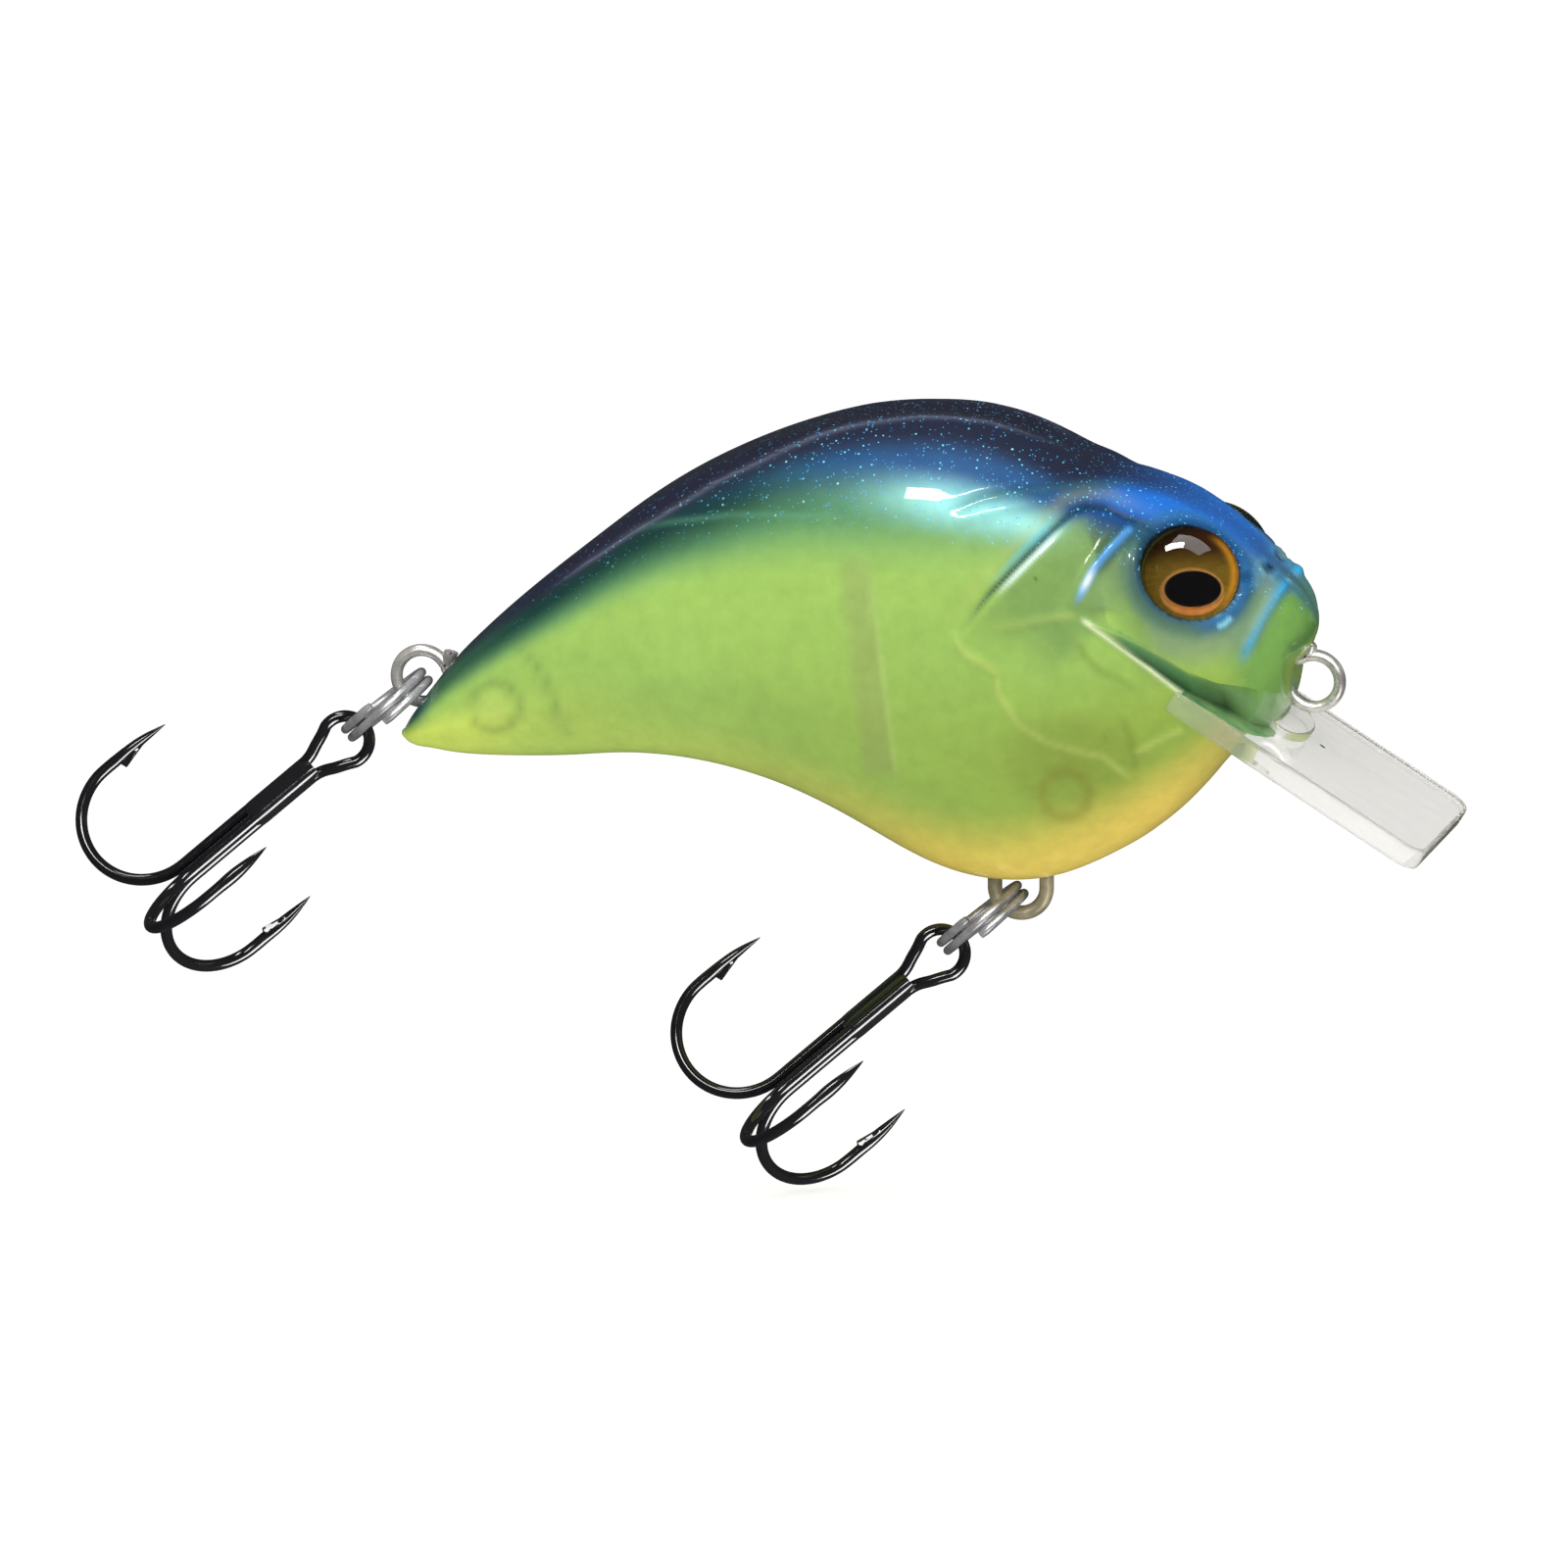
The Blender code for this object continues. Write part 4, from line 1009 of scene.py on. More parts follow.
# ------------------------------------------------------------------ doll eyes
def eye_frame(side):
    centre = np.array((DOLL_EYE[0], side * DOLL_EYE[1], DOLL_EYE[2]))
    out = np.array((DOLL_EYE_NORMAL[0], side * DOLL_EYE_NORMAL[1], DOLL_EYE_NORMAL[2]))
    out /= np.linalg.norm(out)
    level = np.cross((0.0, 0.0, 1.0), out)
    level /= np.linalg.norm(level)
    upward = np.cross(out, level)
    if level[0] < 0:
        level = -level
    return centre, out, level, upward


def turned(side, profile, sides):
    """Points and faces of a solid turned about the eye's axis from (radius, height) rows."""
    centre, out, level, upward = eye_frame(side)
    turn = 2 * math.pi * np.arange(sides) / sides
    spot = np.cos(turn)[:, None] * level + np.sin(turn)[:, None] * upward
    return loft([centre + out * height + radius * spot for radius, height in profile])


def combine(target, points, faces, operation):
    """Cuts a closed shape out of a piece, or joins it on."""
    cutter = make("cutter", points, faces, target.data.materials[0], None)
    step = target.modifiers.new("combine", "BOOLEAN")
    step.operation = operation
    step.solver = "EXACT"
    step.object = cutter
    bpy.context.view_layer.objects.active = target
    bpy.ops.object.modifier_apply(modifier=step.name)
    bpy.data.objects.remove(cutter, do_unlink=True)


def iris_ink(level, upward):
    """Printed iris seen through the dome, with painted shade over its upper part: level and upward are in
    units of the disc's radius.
    """
    radius = np.hypot(level, upward)
    angle = np.arctan2(upward, level)
    canvas = Canvas((96, 76, 22), level.shape)
    tint = canvas.tint
    streaks = 0.5 + 0.5 * np.sin(angle * 46.0 + 3.0 * np.sin(angle * 7.0))
    tint(0.22 * streaks * smoothstep(0.3, 0.7, radius), (132, 108, 34))
    # painted shade: the iris darkened towards its top, where the socket's wall shades it
    tint(0.95 * smoothstep(0.02, 0.55, upward), (36, 14, 6))
    tint(0.7 * bell(radius - 0.83, 0.08) * smoothstep(0.45, 0.97, np.cos(angle - 0.1)), (200, 136, 36))
    rear = smoothstep(-0.2, 0.6, np.cos(angle - math.pi * 1.05))
    tint(0.7 * bell(radius - 0.88, 0.025) * rear, (40, 30, 12))
    tint(0.75 * bell(radius - 0.955, 0.045) * rear, (134, 142, 60))
    tint(0.6 * bell(radius - 1.0, 0.05), (50, 34, 14))
    pupil = np.hypot((level - 0.05) / 0.545, (upward + 0.28) / 0.355)
    cup = np.hypot((level - 0.04) / 0.61, (upward + 0.335) / 0.455)
    copper = 1 - smoothstep(0.93, 1.02, cup)
    tint(0.95 * copper, (170, 124, 64))
    tint(0.6 * copper * smoothstep(-0.4, -0.72, upward), (196, 110, 50))
    tint(0.55 * copper * bell(pupil - 1.05, 0.03), (72, 36, 14))
    tint(1 - smoothstep(0.93, 1.0, pupil), (4, 4, 6))
    return canvas.colour


# The printed disc lies on the socket's floor, and the dome's foot stands in the print
SOCKET_FLOOR = -SOCKET_DEEP + 0.04
FOIL_RADIUS = 3.1
FOIL_RINGS = 46
FOIL_SIDES = 144
DOME_RADIUS = 3.15
DOME_FOOT = SOCKET_FLOOR + 0.18
DOME_WALL = SOCKET_FLOOR + 0.9
DOME_RISE = 1.58


def build_eye(side, tag, clear, print_look):
    centre, out, level, upward = eye_frame(side)
    turn = 2 * math.pi * np.arange(FOIL_SIDES) / FOIL_SIDES
    spot = np.cos(turn)[:, None] * level + np.sin(turn)[:, None] * upward
    sections = [centre + out * SOCKET_FLOOR + FOIL_RADIUS * spot]
    inks = [iris_ink(np.cos(turn), np.sin(turn))]
    for share in 1.0 - np.arange(FOIL_RINGS) / FOIL_RINGS:
        rise = SOCKET_FLOOR + 0.22 + 0.3 * (1 - share ** 2)
        sections.append(centre + out * rise + FOIL_RADIUS * share * spot)
        inks.append(iris_ink(np.cos(turn) * share, np.sin(turn) * share))
    foil = make(tag + "_eye_printed_foil", *loft(sections), print_look, "lure", [tag + "_eye_foil"], 50.0)
    # the stored ink includes the painted shade over the iris's top
    store(foil, "ink", np.concatenate(inks))

    ball = (DOME_RADIUS ** 2 + DOME_RISE ** 2) / (2 * DOME_RISE)
    top = math.asin(DOME_RADIUS / ball)
    profile = [(DOME_RADIUS - 0.06, DOME_FOOT), (DOME_RADIUS, DOME_FOOT + 0.06), (DOME_RADIUS, DOME_WALL)]
    for i in range(1, 26):
        angle = top * (1 - i / 25.5)
        profile.append((ball * math.sin(angle), DOME_WALL + ball * (math.cos(angle) - math.cos(top))))
    points, faces = turned(side, profile, ROUND_SIDES)
    dome = make(tag + "_eye_clear_dome", points, faces, clear, "lure", [tag + "_eye_dome"], 60.0)
    dome.visible_shadow = False


# ------------------------------------------------------------------ lip
LIP_DOWN = np.array((1.0, 0.0, -LIP_SLOPE)) / math.hypot(1.0, LIP_SLOPE)
LIP_UP = np.array((LIP_SLOPE, 0.0, 1.0)) / math.hypot(1.0, LIP_SLOPE)


def lip_point(reach, y, lift):
    start = np.array((LIP_SHOULDER_X, 0.0, LIP_AT_ZERO - LIP_SLOPE * LIP_SHOULDER_X))
    return start + LIP_DOWN * reach + LIP_UP * lift + np.array((0.0, y, 0.0))


def lip_outline():
    """(reach, y) outline of the bill, its neck and the tee inside the body, with small rounded corners."""
    tip = (LIP_TIP_X - LIP_SHOULDER_X) / LIP_DOWN[0]
    corners = [
        (tip, LIP_HALF, LIP_CORNER), (0.0, LIP_HALF, 0.5), (0.0, LIP_NECK_HALF, 0.4),
        (-LIP_NECK_LONG, LIP_NECK_HALF, 0.4), (-LIP_NECK_LONG, LIP_TEE_HALF, 0.4),
        (-LIP_NECK_LONG - LIP_TEE_LONG, LIP_TEE_HALF, 0.5),
    ]
    corners = corners + [(a, -b, r) for a, b, r in reversed(corners)]
    out = []
    for i, (a, b, r) in enumerate(corners):
        here = np.array((a, b))
        before = np.array(corners[i - 1][:2]) - here
        after = np.array(corners[(i + 1) % len(corners)][:2]) - here
        before /= np.linalg.norm(before)
        after /= np.linalg.norm(after)
        centre = here + (before + after) * r
        for k in range(9):
            angle = 0.5 * math.pi * k / 8
            out.append(centre - after * r * math.cos(angle) - before * r * math.sin(angle))
    return np.array(out)


def inset(outline, amount):
    """Moves a closed outline inwards by an amount."""
    ahead = np.roll(outline, -1, axis=0) - outline
    behind = outline - np.roll(outline, 1, axis=0)
    step = ahead / np.linalg.norm(ahead, axis=1)[:, None] + behind / np.linalg.norm(behind, axis=1)[:, None]
    step /= np.linalg.norm(step, axis=1)[:, None]
    area = np.sum(outline[:, 0] * np.roll(outline[:, 1], -1) - np.roll(outline[:, 0], -1) * outline[:, 1])
    inward = np.stack([-step[:, 1], step[:, 0]], axis=1) * (1.0 if area > 0 else -1.0)
    return outline + inward * amount


def rounded_plate(outline, low, high, edge):
    """A plate with rounded edges; low and high are its faces' heights."""
    sections = []
    for face, sign, steps in ((low, 1.0, range(6)), (high, -1.0, range(5, -1, -1))):
        for k in steps:
            angle = 0.5 * math.pi * k / 5
            lift = face + sign * edge * (1 - math.cos(angle))
            sections.append([lip_point(a, b, lift) for a, b in inset(outline, edge * (1 - math.sin(angle)))])
    return loft(sections)


def build_lip(clear):
    points, faces = rounded_plate(lip_outline(), -LIP_THICK, 0.0, LIP_EDGE)
    lip = make("clear_diving_lip", points, faces, clear, None)
    front = (PAD_FRONT_X + 0.6 - LIP_SHOULDER_X) / LIP_DOWN[0]
    back = (PAD_BACK_X - LIP_SHOULDER_X) / LIP_DOWN[0]
    ring = []
    for k in range(25):
        angle = -0.5 * math.pi + math.pi * k / 24
        ring.append((front - 1.6 + 1.6 * math.cos(angle), PAD_HALF * math.sin(angle)))
    ring += [(back, PAD_HALF), (back, -PAD_HALF)]
    points, faces = rounded_plate(np.array(ring), -0.5, PAD_HIGH, 0.2)
    combine(lip, points, faces, "UNION")
    lip.data.set_sharp_from_angle(angle=math.radians(28.0))
    flatten_caps(lip.data)
    lip.visible_shadow = False
    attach(lip, "lure")
    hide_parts("diving_lip")


OVERSPRAY = [
    (-7.3, 8.55), (-6.1, 8.45), (-4.95, 8.3), (-4.1, 8.25), (-3.4, 8.1), (-2.9, 7.6), (-2.5, 6.9),
    (-2.15, 6.0), (-1.85, 5.0), (-1.8, 4.0), (-2.2, 3.0), (-3.6, 2.6), (-5.2, 2.6), (-6.9, 4.0), (-7.3, 6.0),
]
PAINT_SPECK = [(0.35, 0.05), (0.62, -0.2), (0.72, 0.1), (0.5, 0.25)]


def build_overspray():
    """Thin paint film that spread from the chin on to the lip's root, and one stray speck."""
    look = Look("overspray_paint")
    look.set(Roughness=0.4, Coat_Weight=0.8, Coat_Roughness=0.05)
    blotch = look.remap(look.noise(900.0, 5.0, 0.65), 0.35, 0.65, 0.0, 1.0)
    deep, pale = (tuple(linear(shade)) + (1.0,) for shade in ((74, 128, 84), (128, 166, 104)))
    look.drive("Base Color", look.mix(blotch, deep, pale))
    look.bump(look.noise(2000.0, 3.0), 0.2, 0.00003)
    rng = np.random.default_rng(11)
    for name, shape, sides in (("lip_overspray_right", OVERSPRAY, -1), ("lip_overspray_left", OVERSPRAY, 1),
                               ("lip_paint_speck", PAINT_SPECK, 1)):
        curve = spline([(a, b, 0.0) for a, b in shape], 0.12, closed=True)[:, :2]
        edge = curve + rng.normal(0.0, 0.035, curve.shape)
        film = [[np.array((x, sides * y, LIP_AT_ZERO - LIP_SLOPE * x)) + LIP_UP * lift for x, y in edge]
                for lift in (0.012, 0.03)]
        make(name, *loft(film), look.material, "lure")


# ------------------------------------------------------------------ wires, rings and trebles
def dog_bone(first, first_radius, second, second_radius, steps):
    """Closed centre-line: two loops joined by two close, parallel strands."""
    start = np.array((first[0], 0.0, first[1]))
    along = np.array((second[0] - first[0], 0.0, second[1] - first[1]))
    reach = np.linalg.norm(along)
    along = along / reach
    across = np.array((-along[2], 0.0, along[0]))
    path = []
    for origin, sign, radius in ((start, 1.0, first_radius), (start + along * reach, -1.0, second_radius)):
        spread = EYE_HALF_WAIST + EYE_FILLET
        tuck = math.sqrt((radius + EYE_FILLET) ** 2 - spread ** 2)
        meet = math.atan2(spread, tuck)
        local = []
        stop = math.pi + meet
        for k in range(9):
            angle = 0.5 * math.pi + (stop - 0.5 * math.pi) * k / 8
            local.append((tuck + EYE_FILLET * math.cos(angle), -spread + EYE_FILLET * math.sin(angle)))
        for i in range(1, steps):
            angle = -meet - (2 * math.pi - 2 * meet) * i / steps
            local.append((radius * math.cos(angle), radius * math.sin(angle)))
        for k in range(9):
            a, b = local[8 - k]
            local.append((a, -b))
        path += [origin + along * (sign * a) + across * (sign * b) for a, b in local]
    return np.array(path)


def long_link(first, second, radius, steps):
    path = []
    for centre, start in ((first, math.pi), (second, 0.0)):
        for i in range(steps + 1):
            angle = start + math.pi * i / steps
            path.append((centre[0] + radius * math.cos(angle), 0.0, centre[1] + radius * math.sin(angle)))
    return np.array(path)


def build_wires():
    steel = wire_look("stainless_wire", (0.6, 0.58, 0.54), 0.26, 0.04, 0.75)
    brassy = wire_look("painted_stainless_wire", (0.46, 0.41, 0.27), 0.34, 0.06, 0.55)
    tie = dog_bone((0.0, 0.0), EYE_LOOP, TIE_INNER, EYE_INNER, EYE_STEPS)
    tail = dog_bone(TAIL_LOOP, EYE_LOOP, TAIL_INNER, EYE_INNER, EYE_STEPS)
    belly = long_link(BELLY_LOOP, BELLY_INNER, EYE_LOOP, LINK_STEPS)
    for name, path, radius, look, node in (
            ("line_tie_wire", tie, EYE_WIRE, steel, "line_tie_eye"),
            ("tail_hanger_wire", tail, EYE_WIRE, steel, "tail_hanger_eye"),
            ("belly_hanger_wire", belly, BELLY_WIRE, brassy, "belly_hanger_eye")):
        make(name, *sweep(path, radius, EYE_WIRE_SIDES, closed=True), look, "lure", [node])


def build_ring(name, node, loop, reach, body, look):
    centre = np.array((loop[0], 0.0, loop[1])) + CHAIN * reach
    path = []
    for i in range(RING_STEPS + 1):
        turn = 4 * math.pi * i / RING_STEPS + 0.5 * math.pi
        lift = RING_PITCH * (2.0 * i / RING_STEPS - 1.0)
        path.append(centre + (CHAIN * math.cos(turn) + TOWARD * math.sin(turn)) * RING_RADIUS + ACROSS * lift)
    ends = np.minimum(np.arange(RING_STEPS + 1), np.arange(RING_STEPS + 1)[::-1])
    radii = RING_WIRE * (0.8 + 0.2 * smoothstep(0, 2, ends))
    make(name, *sweep(path, radii, RING_SIDES), look, body, [node])


def hook_line(angle, start):
    """Centre-line of one hook from its shank to its point, with radius, as rows of x, y, z, size."""
    rows = [(a, HOOK_STRAND, HOOK_WIRE) for a in np.arange(start, HOOK_BEND_AT - 0.3, 0.9)]
    for i in range(25):
        turn = math.pi * i / 24
        rows.append((HOOK_BEND_AT + HOOK_BEND * math.sin(turn),
                     HOOK_STRAND + HOOK_BEND * (1 - math.cos(turn)), HOOK_WIRE))
    rows += [(12.3, 8.9, 0.39), (11.3, 8.89, 0.385), (10.4, 8.86, 0.34), (9.6, 8.8, 0.25),
             (8.9, 8.72, 0.14), (*HOOK_TIP, 0.03)]
    away = ACROSS * math.cos(math.radians(angle)) + FLANK * math.sin(math.radians(angle))
    line = [np.append(SHANK * a + away * r, size) for a, r, size in rows]
    return np.array(line), away


BARB_ROOT = 10.2           # along the shank: where the barb starts and where it is highest
BARB_TOP = 12.0
BARB_HIGH = 0.42


def hook_swell(eye, path, ends):
    """Barbs on the inner side and slightly flattened points, for sweep()."""
    def swell(i, away_dirs):
        factor = np.ones(len(away_dirs))
        local = path[i, :3] - eye
        along = local @ SHANK
        for away in ends:
            out = local @ away
            if out < 7.0 or along > HOOK_BEND_AT:
                continue
            size = path[i, 3]
            inward = away_dirs @ -away
            flank = np.cross(SHANK, away)
            flat = away_dirs @ flank
            spear = 1 - smoothstep(11.0, 12.6, along)
            factor = factor * (1 + spear * (0.14 * flat ** 2 - 0.1 * inward ** 2))
            if BARB_ROOT < along < BARB_TOP + 0.12:
                rise = BARB_HIGH * (along - BARB_ROOT) / (BARB_TOP - BARB_ROOT)
                rise = rise * (1 - smoothstep(BARB_TOP, BARB_TOP + 0.12, along))
                factor = factor + rise / size * smoothstep(0.9, 0.995, inward)
        return factor
    return swell


# The double hook's eye: places along the shank, across it and towards its flank, before and after the loop
EYE_IN = [(2.35, 0.66, -0.1), (1.62, 1.02, -0.03)]
EYE_OUT = [(1.62, -1.0, -0.06), (2.35, -0.58, -0.25)]
EYE_TURN = (50.0, 26.0)    # where the loop starts, and the step between its points, in degrees
BRAZE_SIDES = 90
HOOK_SIDES = 28
HOOK_STEP = 0.16
SHANKS_FROM = (3.4, 2.9)   # where the double hook's shanks and the single hook's shank start
SOFTENED = (0.4, 5.0)      # the part of the double hook whose bends are smoothed, and how often
SOFTENINGS = 14


def eye_bend():
    """Centre-line of the loop that joins the double hook's two shanks, with its radius."""
    bend = [SHANK * along + ACROSS * out + FLANK * back for along, out, back in EYE_IN]
    for i in range(11):
        turn = math.radians(EYE_TURN[0] + EYE_TURN[1] * i)
        bend.append(SHANK * (HOOK_EYE * math.cos(turn)) + ACROSS * (HOOK_EYE * math.sin(turn)))
    bend += [SHANK * along + ACROSS * out + FLANK * back for along, out, back in EYE_OUT]
    return np.array([np.append(p, HOOK_WIRE) for p in bend])


def build_braze(tag, eye, body, look):
    """The brazed upper shank: a three-lobed sleeve that fills the valleys between the strands."""
    turns = [2 * math.pi * j / BRAZE_SIDES for j in range(BRAZE_SIDES)]
    sections = []
    for along in np.concatenate([[BRAZE_FROM, BRAZE_FROM + 0.1, BRAZE_FROM + 0.3],
                                 np.arange(BRAZE_FROM + 0.6, BRAZE_TO - 0.5, 0.35),
                                 [BRAZE_TO - 0.4, BRAZE_TO - 0.15, BRAZE_TO]]):
        cover = min(smoothstep(BRAZE_FROM - 0.35, BRAZE_FROM + 0.5, along),
                    smoothstep(BRAZE_TO + 0.2, BRAZE_TO - 0.8, along))
        sizes = []
        for turn in turns:
            reach = 0.5 + 0.14 * cover
            for angle in HOOK_ANGLES:
                off = turn - math.radians(angle)
                wall = (HOOK_WIRE - 0.02 + 0.045 * cover) ** 2 - (HOOK_STRAND * math.sin(off)) ** 2
                if wall > 0 and math.cos(off) > 0:
                    reach = max(reach, HOOK_STRAND * math.cos(off) + math.sqrt(wall))
            sizes.append(reach)
        for _ in range(3):
            sizes = np.maximum(sizes, (np.roll(sizes, 1) + sizes + np.roll(sizes, -1)) / 3)
        sections.append([eye + SHANK * along + (ACROSS * math.cos(turn) + FLANK * math.sin(turn)) * size
                         for turn, size in zip(turns, sizes)])
    make(tag + "_shank_braze", *loft(sections), look, body, sharp=60.0)


def build_treble(tag, loop, reach, body, plating, braze):
    eye = np.array((loop[0], 0.0, loop[1])) + CHAIN * reach + SHANK * RING_TO_HOOK

    def hook(name, path, ends, first_side):
        swell = hook_swell(eye, path, ends)
        points, faces = sweep(path[:, :3], path[:, 3], HOOK_SIDES, swell=swell, first_side=first_side)
        make(tag + name, points, faces, plating, body, [tag + "_treble" + name], 40.0)

    first, first_away = hook_line(HOOK_ANGLES[0], SHANKS_FROM[0])
    last, last_away = hook_line(HOOK_ANGLES[2], SHANKS_FROM[0])
    path = np.concatenate([first[::-1], eye_bend(), last])
    path[:, :3] += eye
    path = spline(path, HOOK_STEP)
    near_eye = (path[:, :3] - eye) @ SHANK
    bends = ((near_eye > SOFTENED[0]) & (near_eye < SOFTENED[1]))[:, None]
    for _ in range(SOFTENINGS):
        soft = path.copy()
        soft[1:-1] = 0.25 * path[:-2] + 0.5 * path[1:-1] + 0.25 * path[2:]
        path = np.where(bends, soft, path)
    hook("_double_hook", path, (first_away, last_away), SHANK)
    single, away = hook_line(HOOK_ANGLES[1], SHANKS_FROM[1])
    single[:, :3] += eye
    hook("_single_hook", spline(single, HOOK_STEP), (away,), ACROSS)
    build_braze(tag, eye, body, braze)


# ------------------------------------------------------------------ build everything
build_skin()
dome_glass = glass_look("eye_epoxy", (1.0, 0.985, 0.94, 1.0), 0.0, 1.45, 1.0, 0.0)
lip_glass = glass_look("clear_polycarbonate", (0.88, 0.87, 0.84, 1.0), 0.03, 1.49, 0.84, 0.00006)
iris = printed_look("iris_print", "ink", 0.42, 0.12)
build_eye(-1.0, "right", dome_glass, iris)
build_eye(1.0, "left", dome_glass, iris)
build_lip(lip_glass)
build_overspray()
build_wires()
ring_steel = wire_look("split_ring_steel", (0.38, 0.38, 0.39), 0.24, 0.03, 0.65)
build_ring("belly_ring_coil", "belly_split_ring", BELLY_LOOP, BELLY_REACH, "belly_ring", ring_steel)
build_ring("tail_ring_coil", "tail_split_ring", TAIL_LOOP, TAIL_REACH, "tail_ring", ring_steel)
plating = plated_look("black_nickel_plating", (0.006, 0.006, 0.007, 1.0), (1800.0, 3.0), (0.07, 0.13),
                      (500.0, 2.0, 0.5), (0.04, 0.00001))
braze = plated_look("plated_braze", (0.008, 0.008, 0.009, 1.0), (1200.0, 4.0), (0.08, 0.2),
                    (500.0, 3.0, 0.6), (0.12, 0.00003))
build_treble("belly", BELLY_LOOP, BELLY_REACH, "belly_treble", plating, braze)
build_treble("tail", TAIL_LOOP, TAIL_REACH, "tail_treble", plating, braze)
for node, look in (("ballast_slug", lead_look("ballast_alloy", (0.3, 0.31, 0.33))),
                   ("ballast_shot", lead_look("ballast_shot_alloy", (0.34, 0.34, 0.36))),
                   ("rattle_ball_rear", lead_look("rattle_steel", (0.6, 0.6, 0.58))),
                   ("rattle_ball_front", lead_look("rattle_steel_front", (0.62, 0.62, 0.6)))):
    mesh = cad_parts[node].data
    mesh.materials.clear()
    mesh.materials.append(look)

# ------------------------------------------------------------------ studio
TARGET = Vector((-0.03334, -0.00777, -0.00652))
VIEW_AZIMUTH = math.radians(11.0)
VIEW_ELEVATION = math.radians(11.0)
CAMERA_AWAY = 3.5
FRAME_WIDTH = 0.1012
SENSOR = 36.0
WORLD_DIFFUSE = 0.5
WORLD_BY_RAY = [("Is Glossy Ray", 0.035), ("Is Transmission Ray", 0.9), ("Is Camera Ray", 1.0)]
CLIP = (0.05, 60.0)
FLOOR_HALF = 30.0
FLOOR_GAP = 0.0004

# name, place, aim, (width, height), power, and the group in LIT_BY that it lights
LIGHTS = [
    ("front_softbox", (-0.088, -0.44, 0.336), (-0.022, 0.0, 0.012), (0.17, 0.06), 1.05, "shine"),
    ("broad_fill", (0.05, -0.6, 0.55), (-0.02, 0.0, 0.0), (0.8, 0.4), 1.3, "shade"),
    ("overhead_fill", (-0.03, -0.25, 0.95), (-0.03, 0.0, 0.0), (1.1, 0.8), 11.0, "shade"),
    ("eye_softbox", (-0.215, 0.0, 0.57), (-0.007, -0.006, 0.008), (0.15, 0.3), 3.8, "eyes"),
    ("eye_band", (0.02, 0.06, 0.6), (-0.007, -0.006, 0.008), (0.6, 0.34), 2.2, "eyes"),
    ("metal_top", (-0.16, -0.1, 0.5), (-0.04, 0.0, -0.01), (0.26, 0.06), 0.9, "metal"),
    ("metal_low", (0.3, -0.31, -0.34), (-0.06, 0.0, -0.02), (0.3, 0.3), 5.5, "hooks"),
    ("steel_wrap", (0.1, -0.5, 0.35), (-0.03, 0.0, -0.01), (0.7, 0.6), 5.0, "steel"),
    ("steel_low", (0.25, -0.35, -0.3), (-0.03, 0.0, -0.01), (0.3, 0.3), 0.8, "steel"),
]
LIT_BY = {
    "shade": ("",),
    "shine": ("skin", "lip", "hook", "braze", "coil", "wire"),
    "eyes": ("eye_clear_dome",),
    "metal": ("hook", "braze", "coil", "wire"),
    "hooks": ("hook", "braze"),
    "steel": ("coil", "wire"),
}


def aim(holder, place, direction):
    holder.location = place
    holder.rotation_mode = "QUATERNION"
    holder.rotation_quaternion = direction.to_track_quat("-Z", "Y")


def build_camera():
    back = Vector((math.sin(VIEW_AZIMUTH) * math.cos(VIEW_ELEVATION),
                   -math.cos(VIEW_AZIMUTH) * math.cos(VIEW_ELEVATION), math.sin(VIEW_ELEVATION)))
    camera = add_object("camera", bpy.data.cameras.new("camera"))
    camera.data.sensor_width = SENSOR
    camera.data.lens = SENSOR * CAMERA_AWAY / FRAME_WIDTH
    camera.data.clip_start, camera.data.clip_end = CLIP
    aim(camera, TARGET + back * CAMERA_AWAY, -back)
    bpy.context.scene.camera = camera


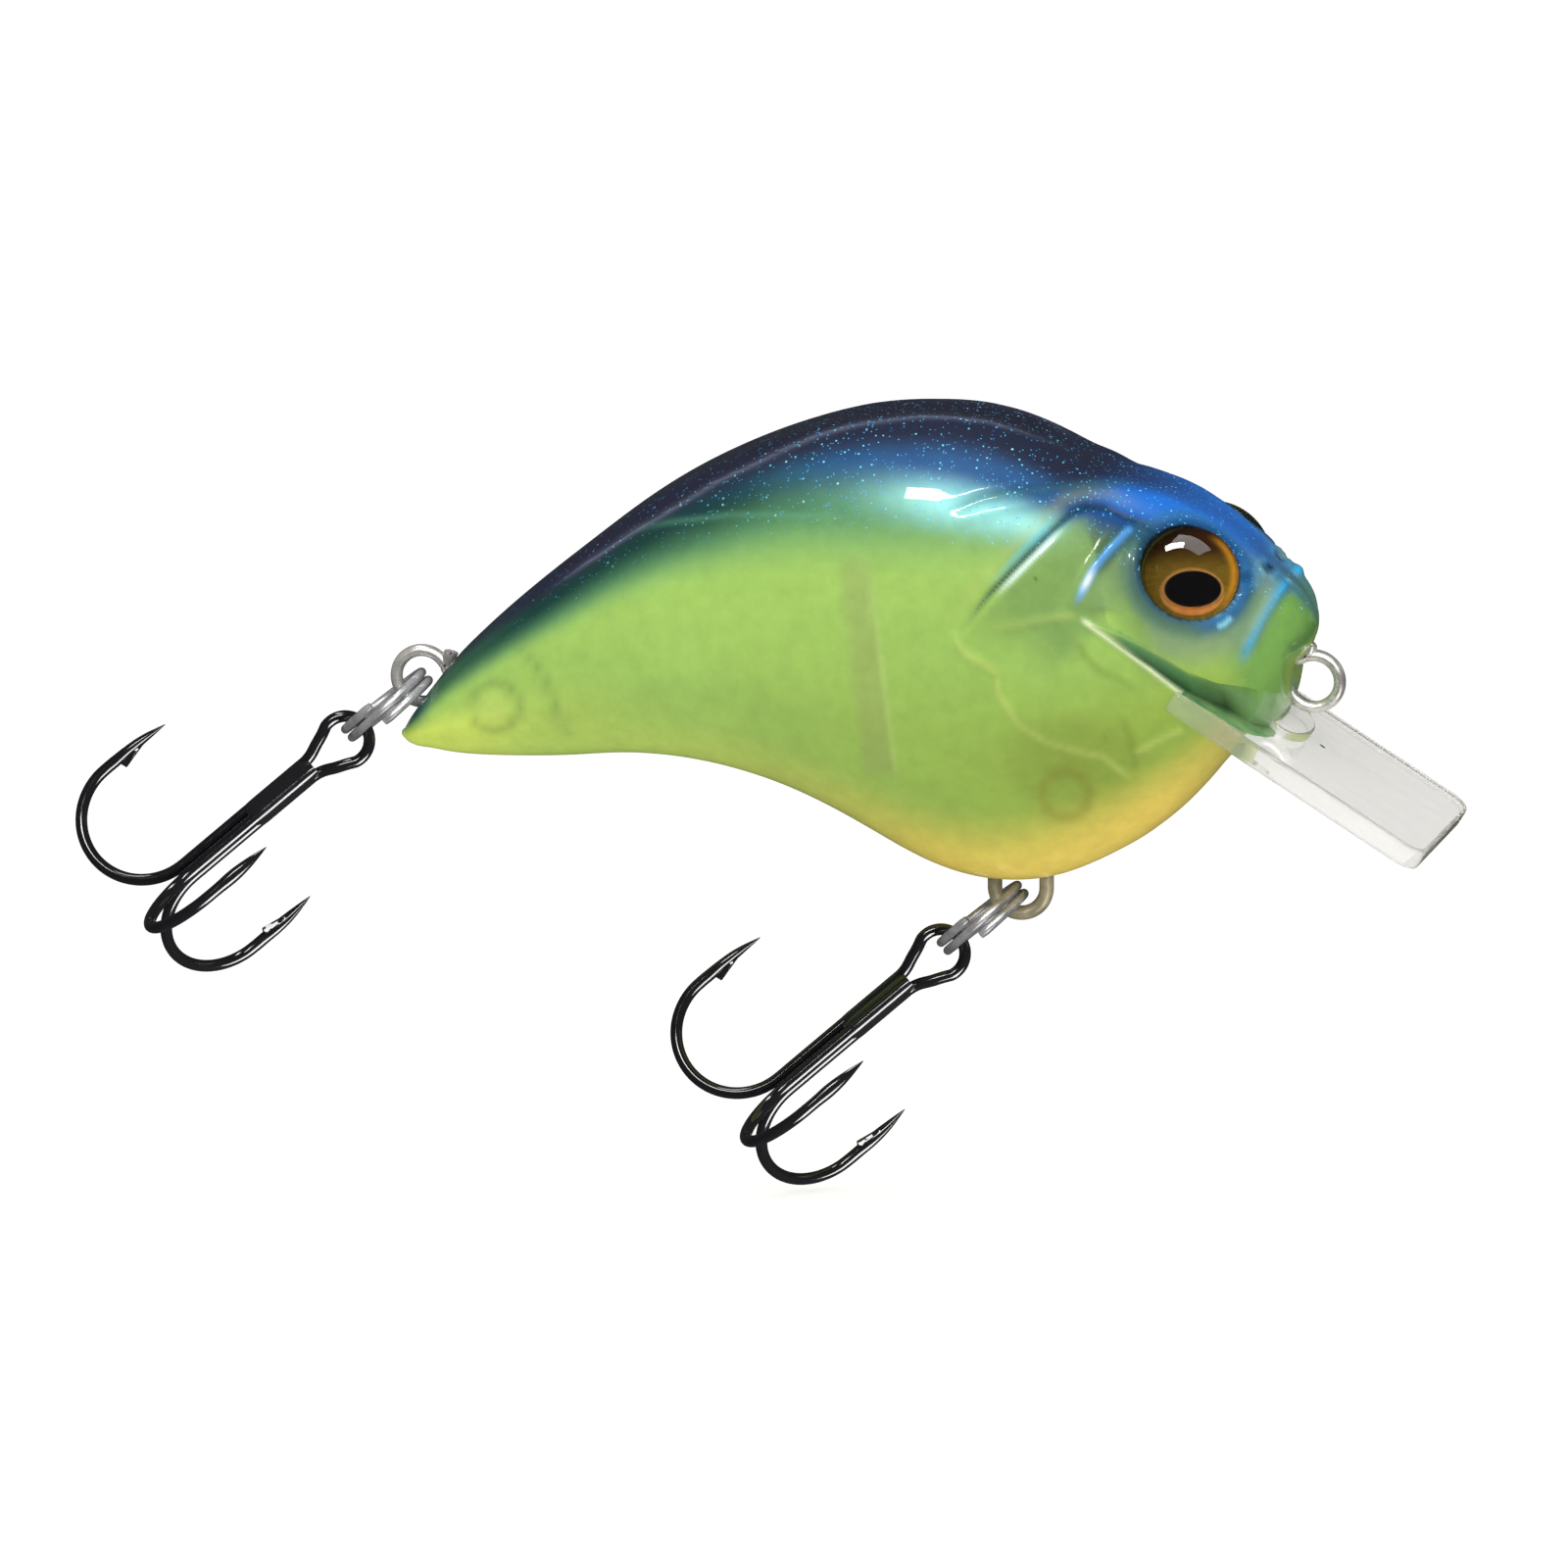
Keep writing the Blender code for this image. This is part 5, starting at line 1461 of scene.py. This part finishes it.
def build_floor():
    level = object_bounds()[0].z - FLOOR_GAP
    mesh = bpy.data.meshes.new("studio_floor")
    corners = [(FLOOR_HALF * a, FLOOR_HALF * b, level) for a, b in ((-1, -1), (1, -1), (1, 1), (-1, 1))]
    mesh.from_pydata(corners, [], [(0, 1, 2, 3)])
    floor = add_object("studio_floor", mesh)
    look = Look("studio_floor_white")
    look.set(Base_Color=(0.86, 0.86, 0.86, 1.0), Roughness=0.9, Specular_IOR_Level=0.0,
             Emission_Color=(1.0, 1.0, 1.0, 1.0), Emission_Strength=0.66)
    mesh.materials.append(look.material)
    floor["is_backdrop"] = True
    floor.visible_glossy = False
    floor.visible_shadow = False


def build_world():
    """White surroundings, with a strength of their own for each kind of ray."""
    world = bpy.data.worlds.new("studio")
    bpy.context.scene.world = world
    world.use_nodes = True
    tree = world.node_tree
    rays = tree.nodes.new("ShaderNodeLightPath")
    value = None
    for ray, wanted in WORLD_BY_RAY:
        level = tree.nodes.new("ShaderNodeMix")
        if value is None:
            level.inputs["A"].default_value = WORLD_DIFFUSE
        else:
            tree.links.new(value, level.inputs["A"])
        level.inputs["B"].default_value = wanted
        tree.links.new(rays.outputs[ray], level.inputs["Factor"])
        value = level.outputs["Result"]
    background = tree.nodes["Background"]
    tree.links.new(value, background.inputs["Strength"])
    background.inputs["Color"].default_value = (1.0, 1.0, 1.0, 1.0)


def build_lights():
    groups = {}
    for group, words in LIT_BY.items():
        groups[group] = bpy.data.collections.new("lit_" + group)
        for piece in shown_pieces():
            if any(word in piece.name for word in words):
                groups[group].objects.link(piece)
    for name, place, target, size, power, group in LIGHTS:
        lamp = bpy.data.lights.new(name, "AREA")
        lamp.shape = "RECTANGLE"
        lamp.size, lamp.size_y = size
        lamp.energy = power
        holder = add_object(name, lamp)
        aim(holder, place, Vector(target) - Vector(place))
        holder.visible_camera = False
        holder.visible_transmission = False
        holder.visible_glossy = group != "shade"
        holder.visible_diffuse = group != "shine"
        holder.light_linking.receiver_collection = groups[group]


build_camera()
build_floor()
build_world()
build_lights()
scene = bpy.context.scene
scene.view_settings.view_transform = "Standard"
scene.view_settings.look = "None"
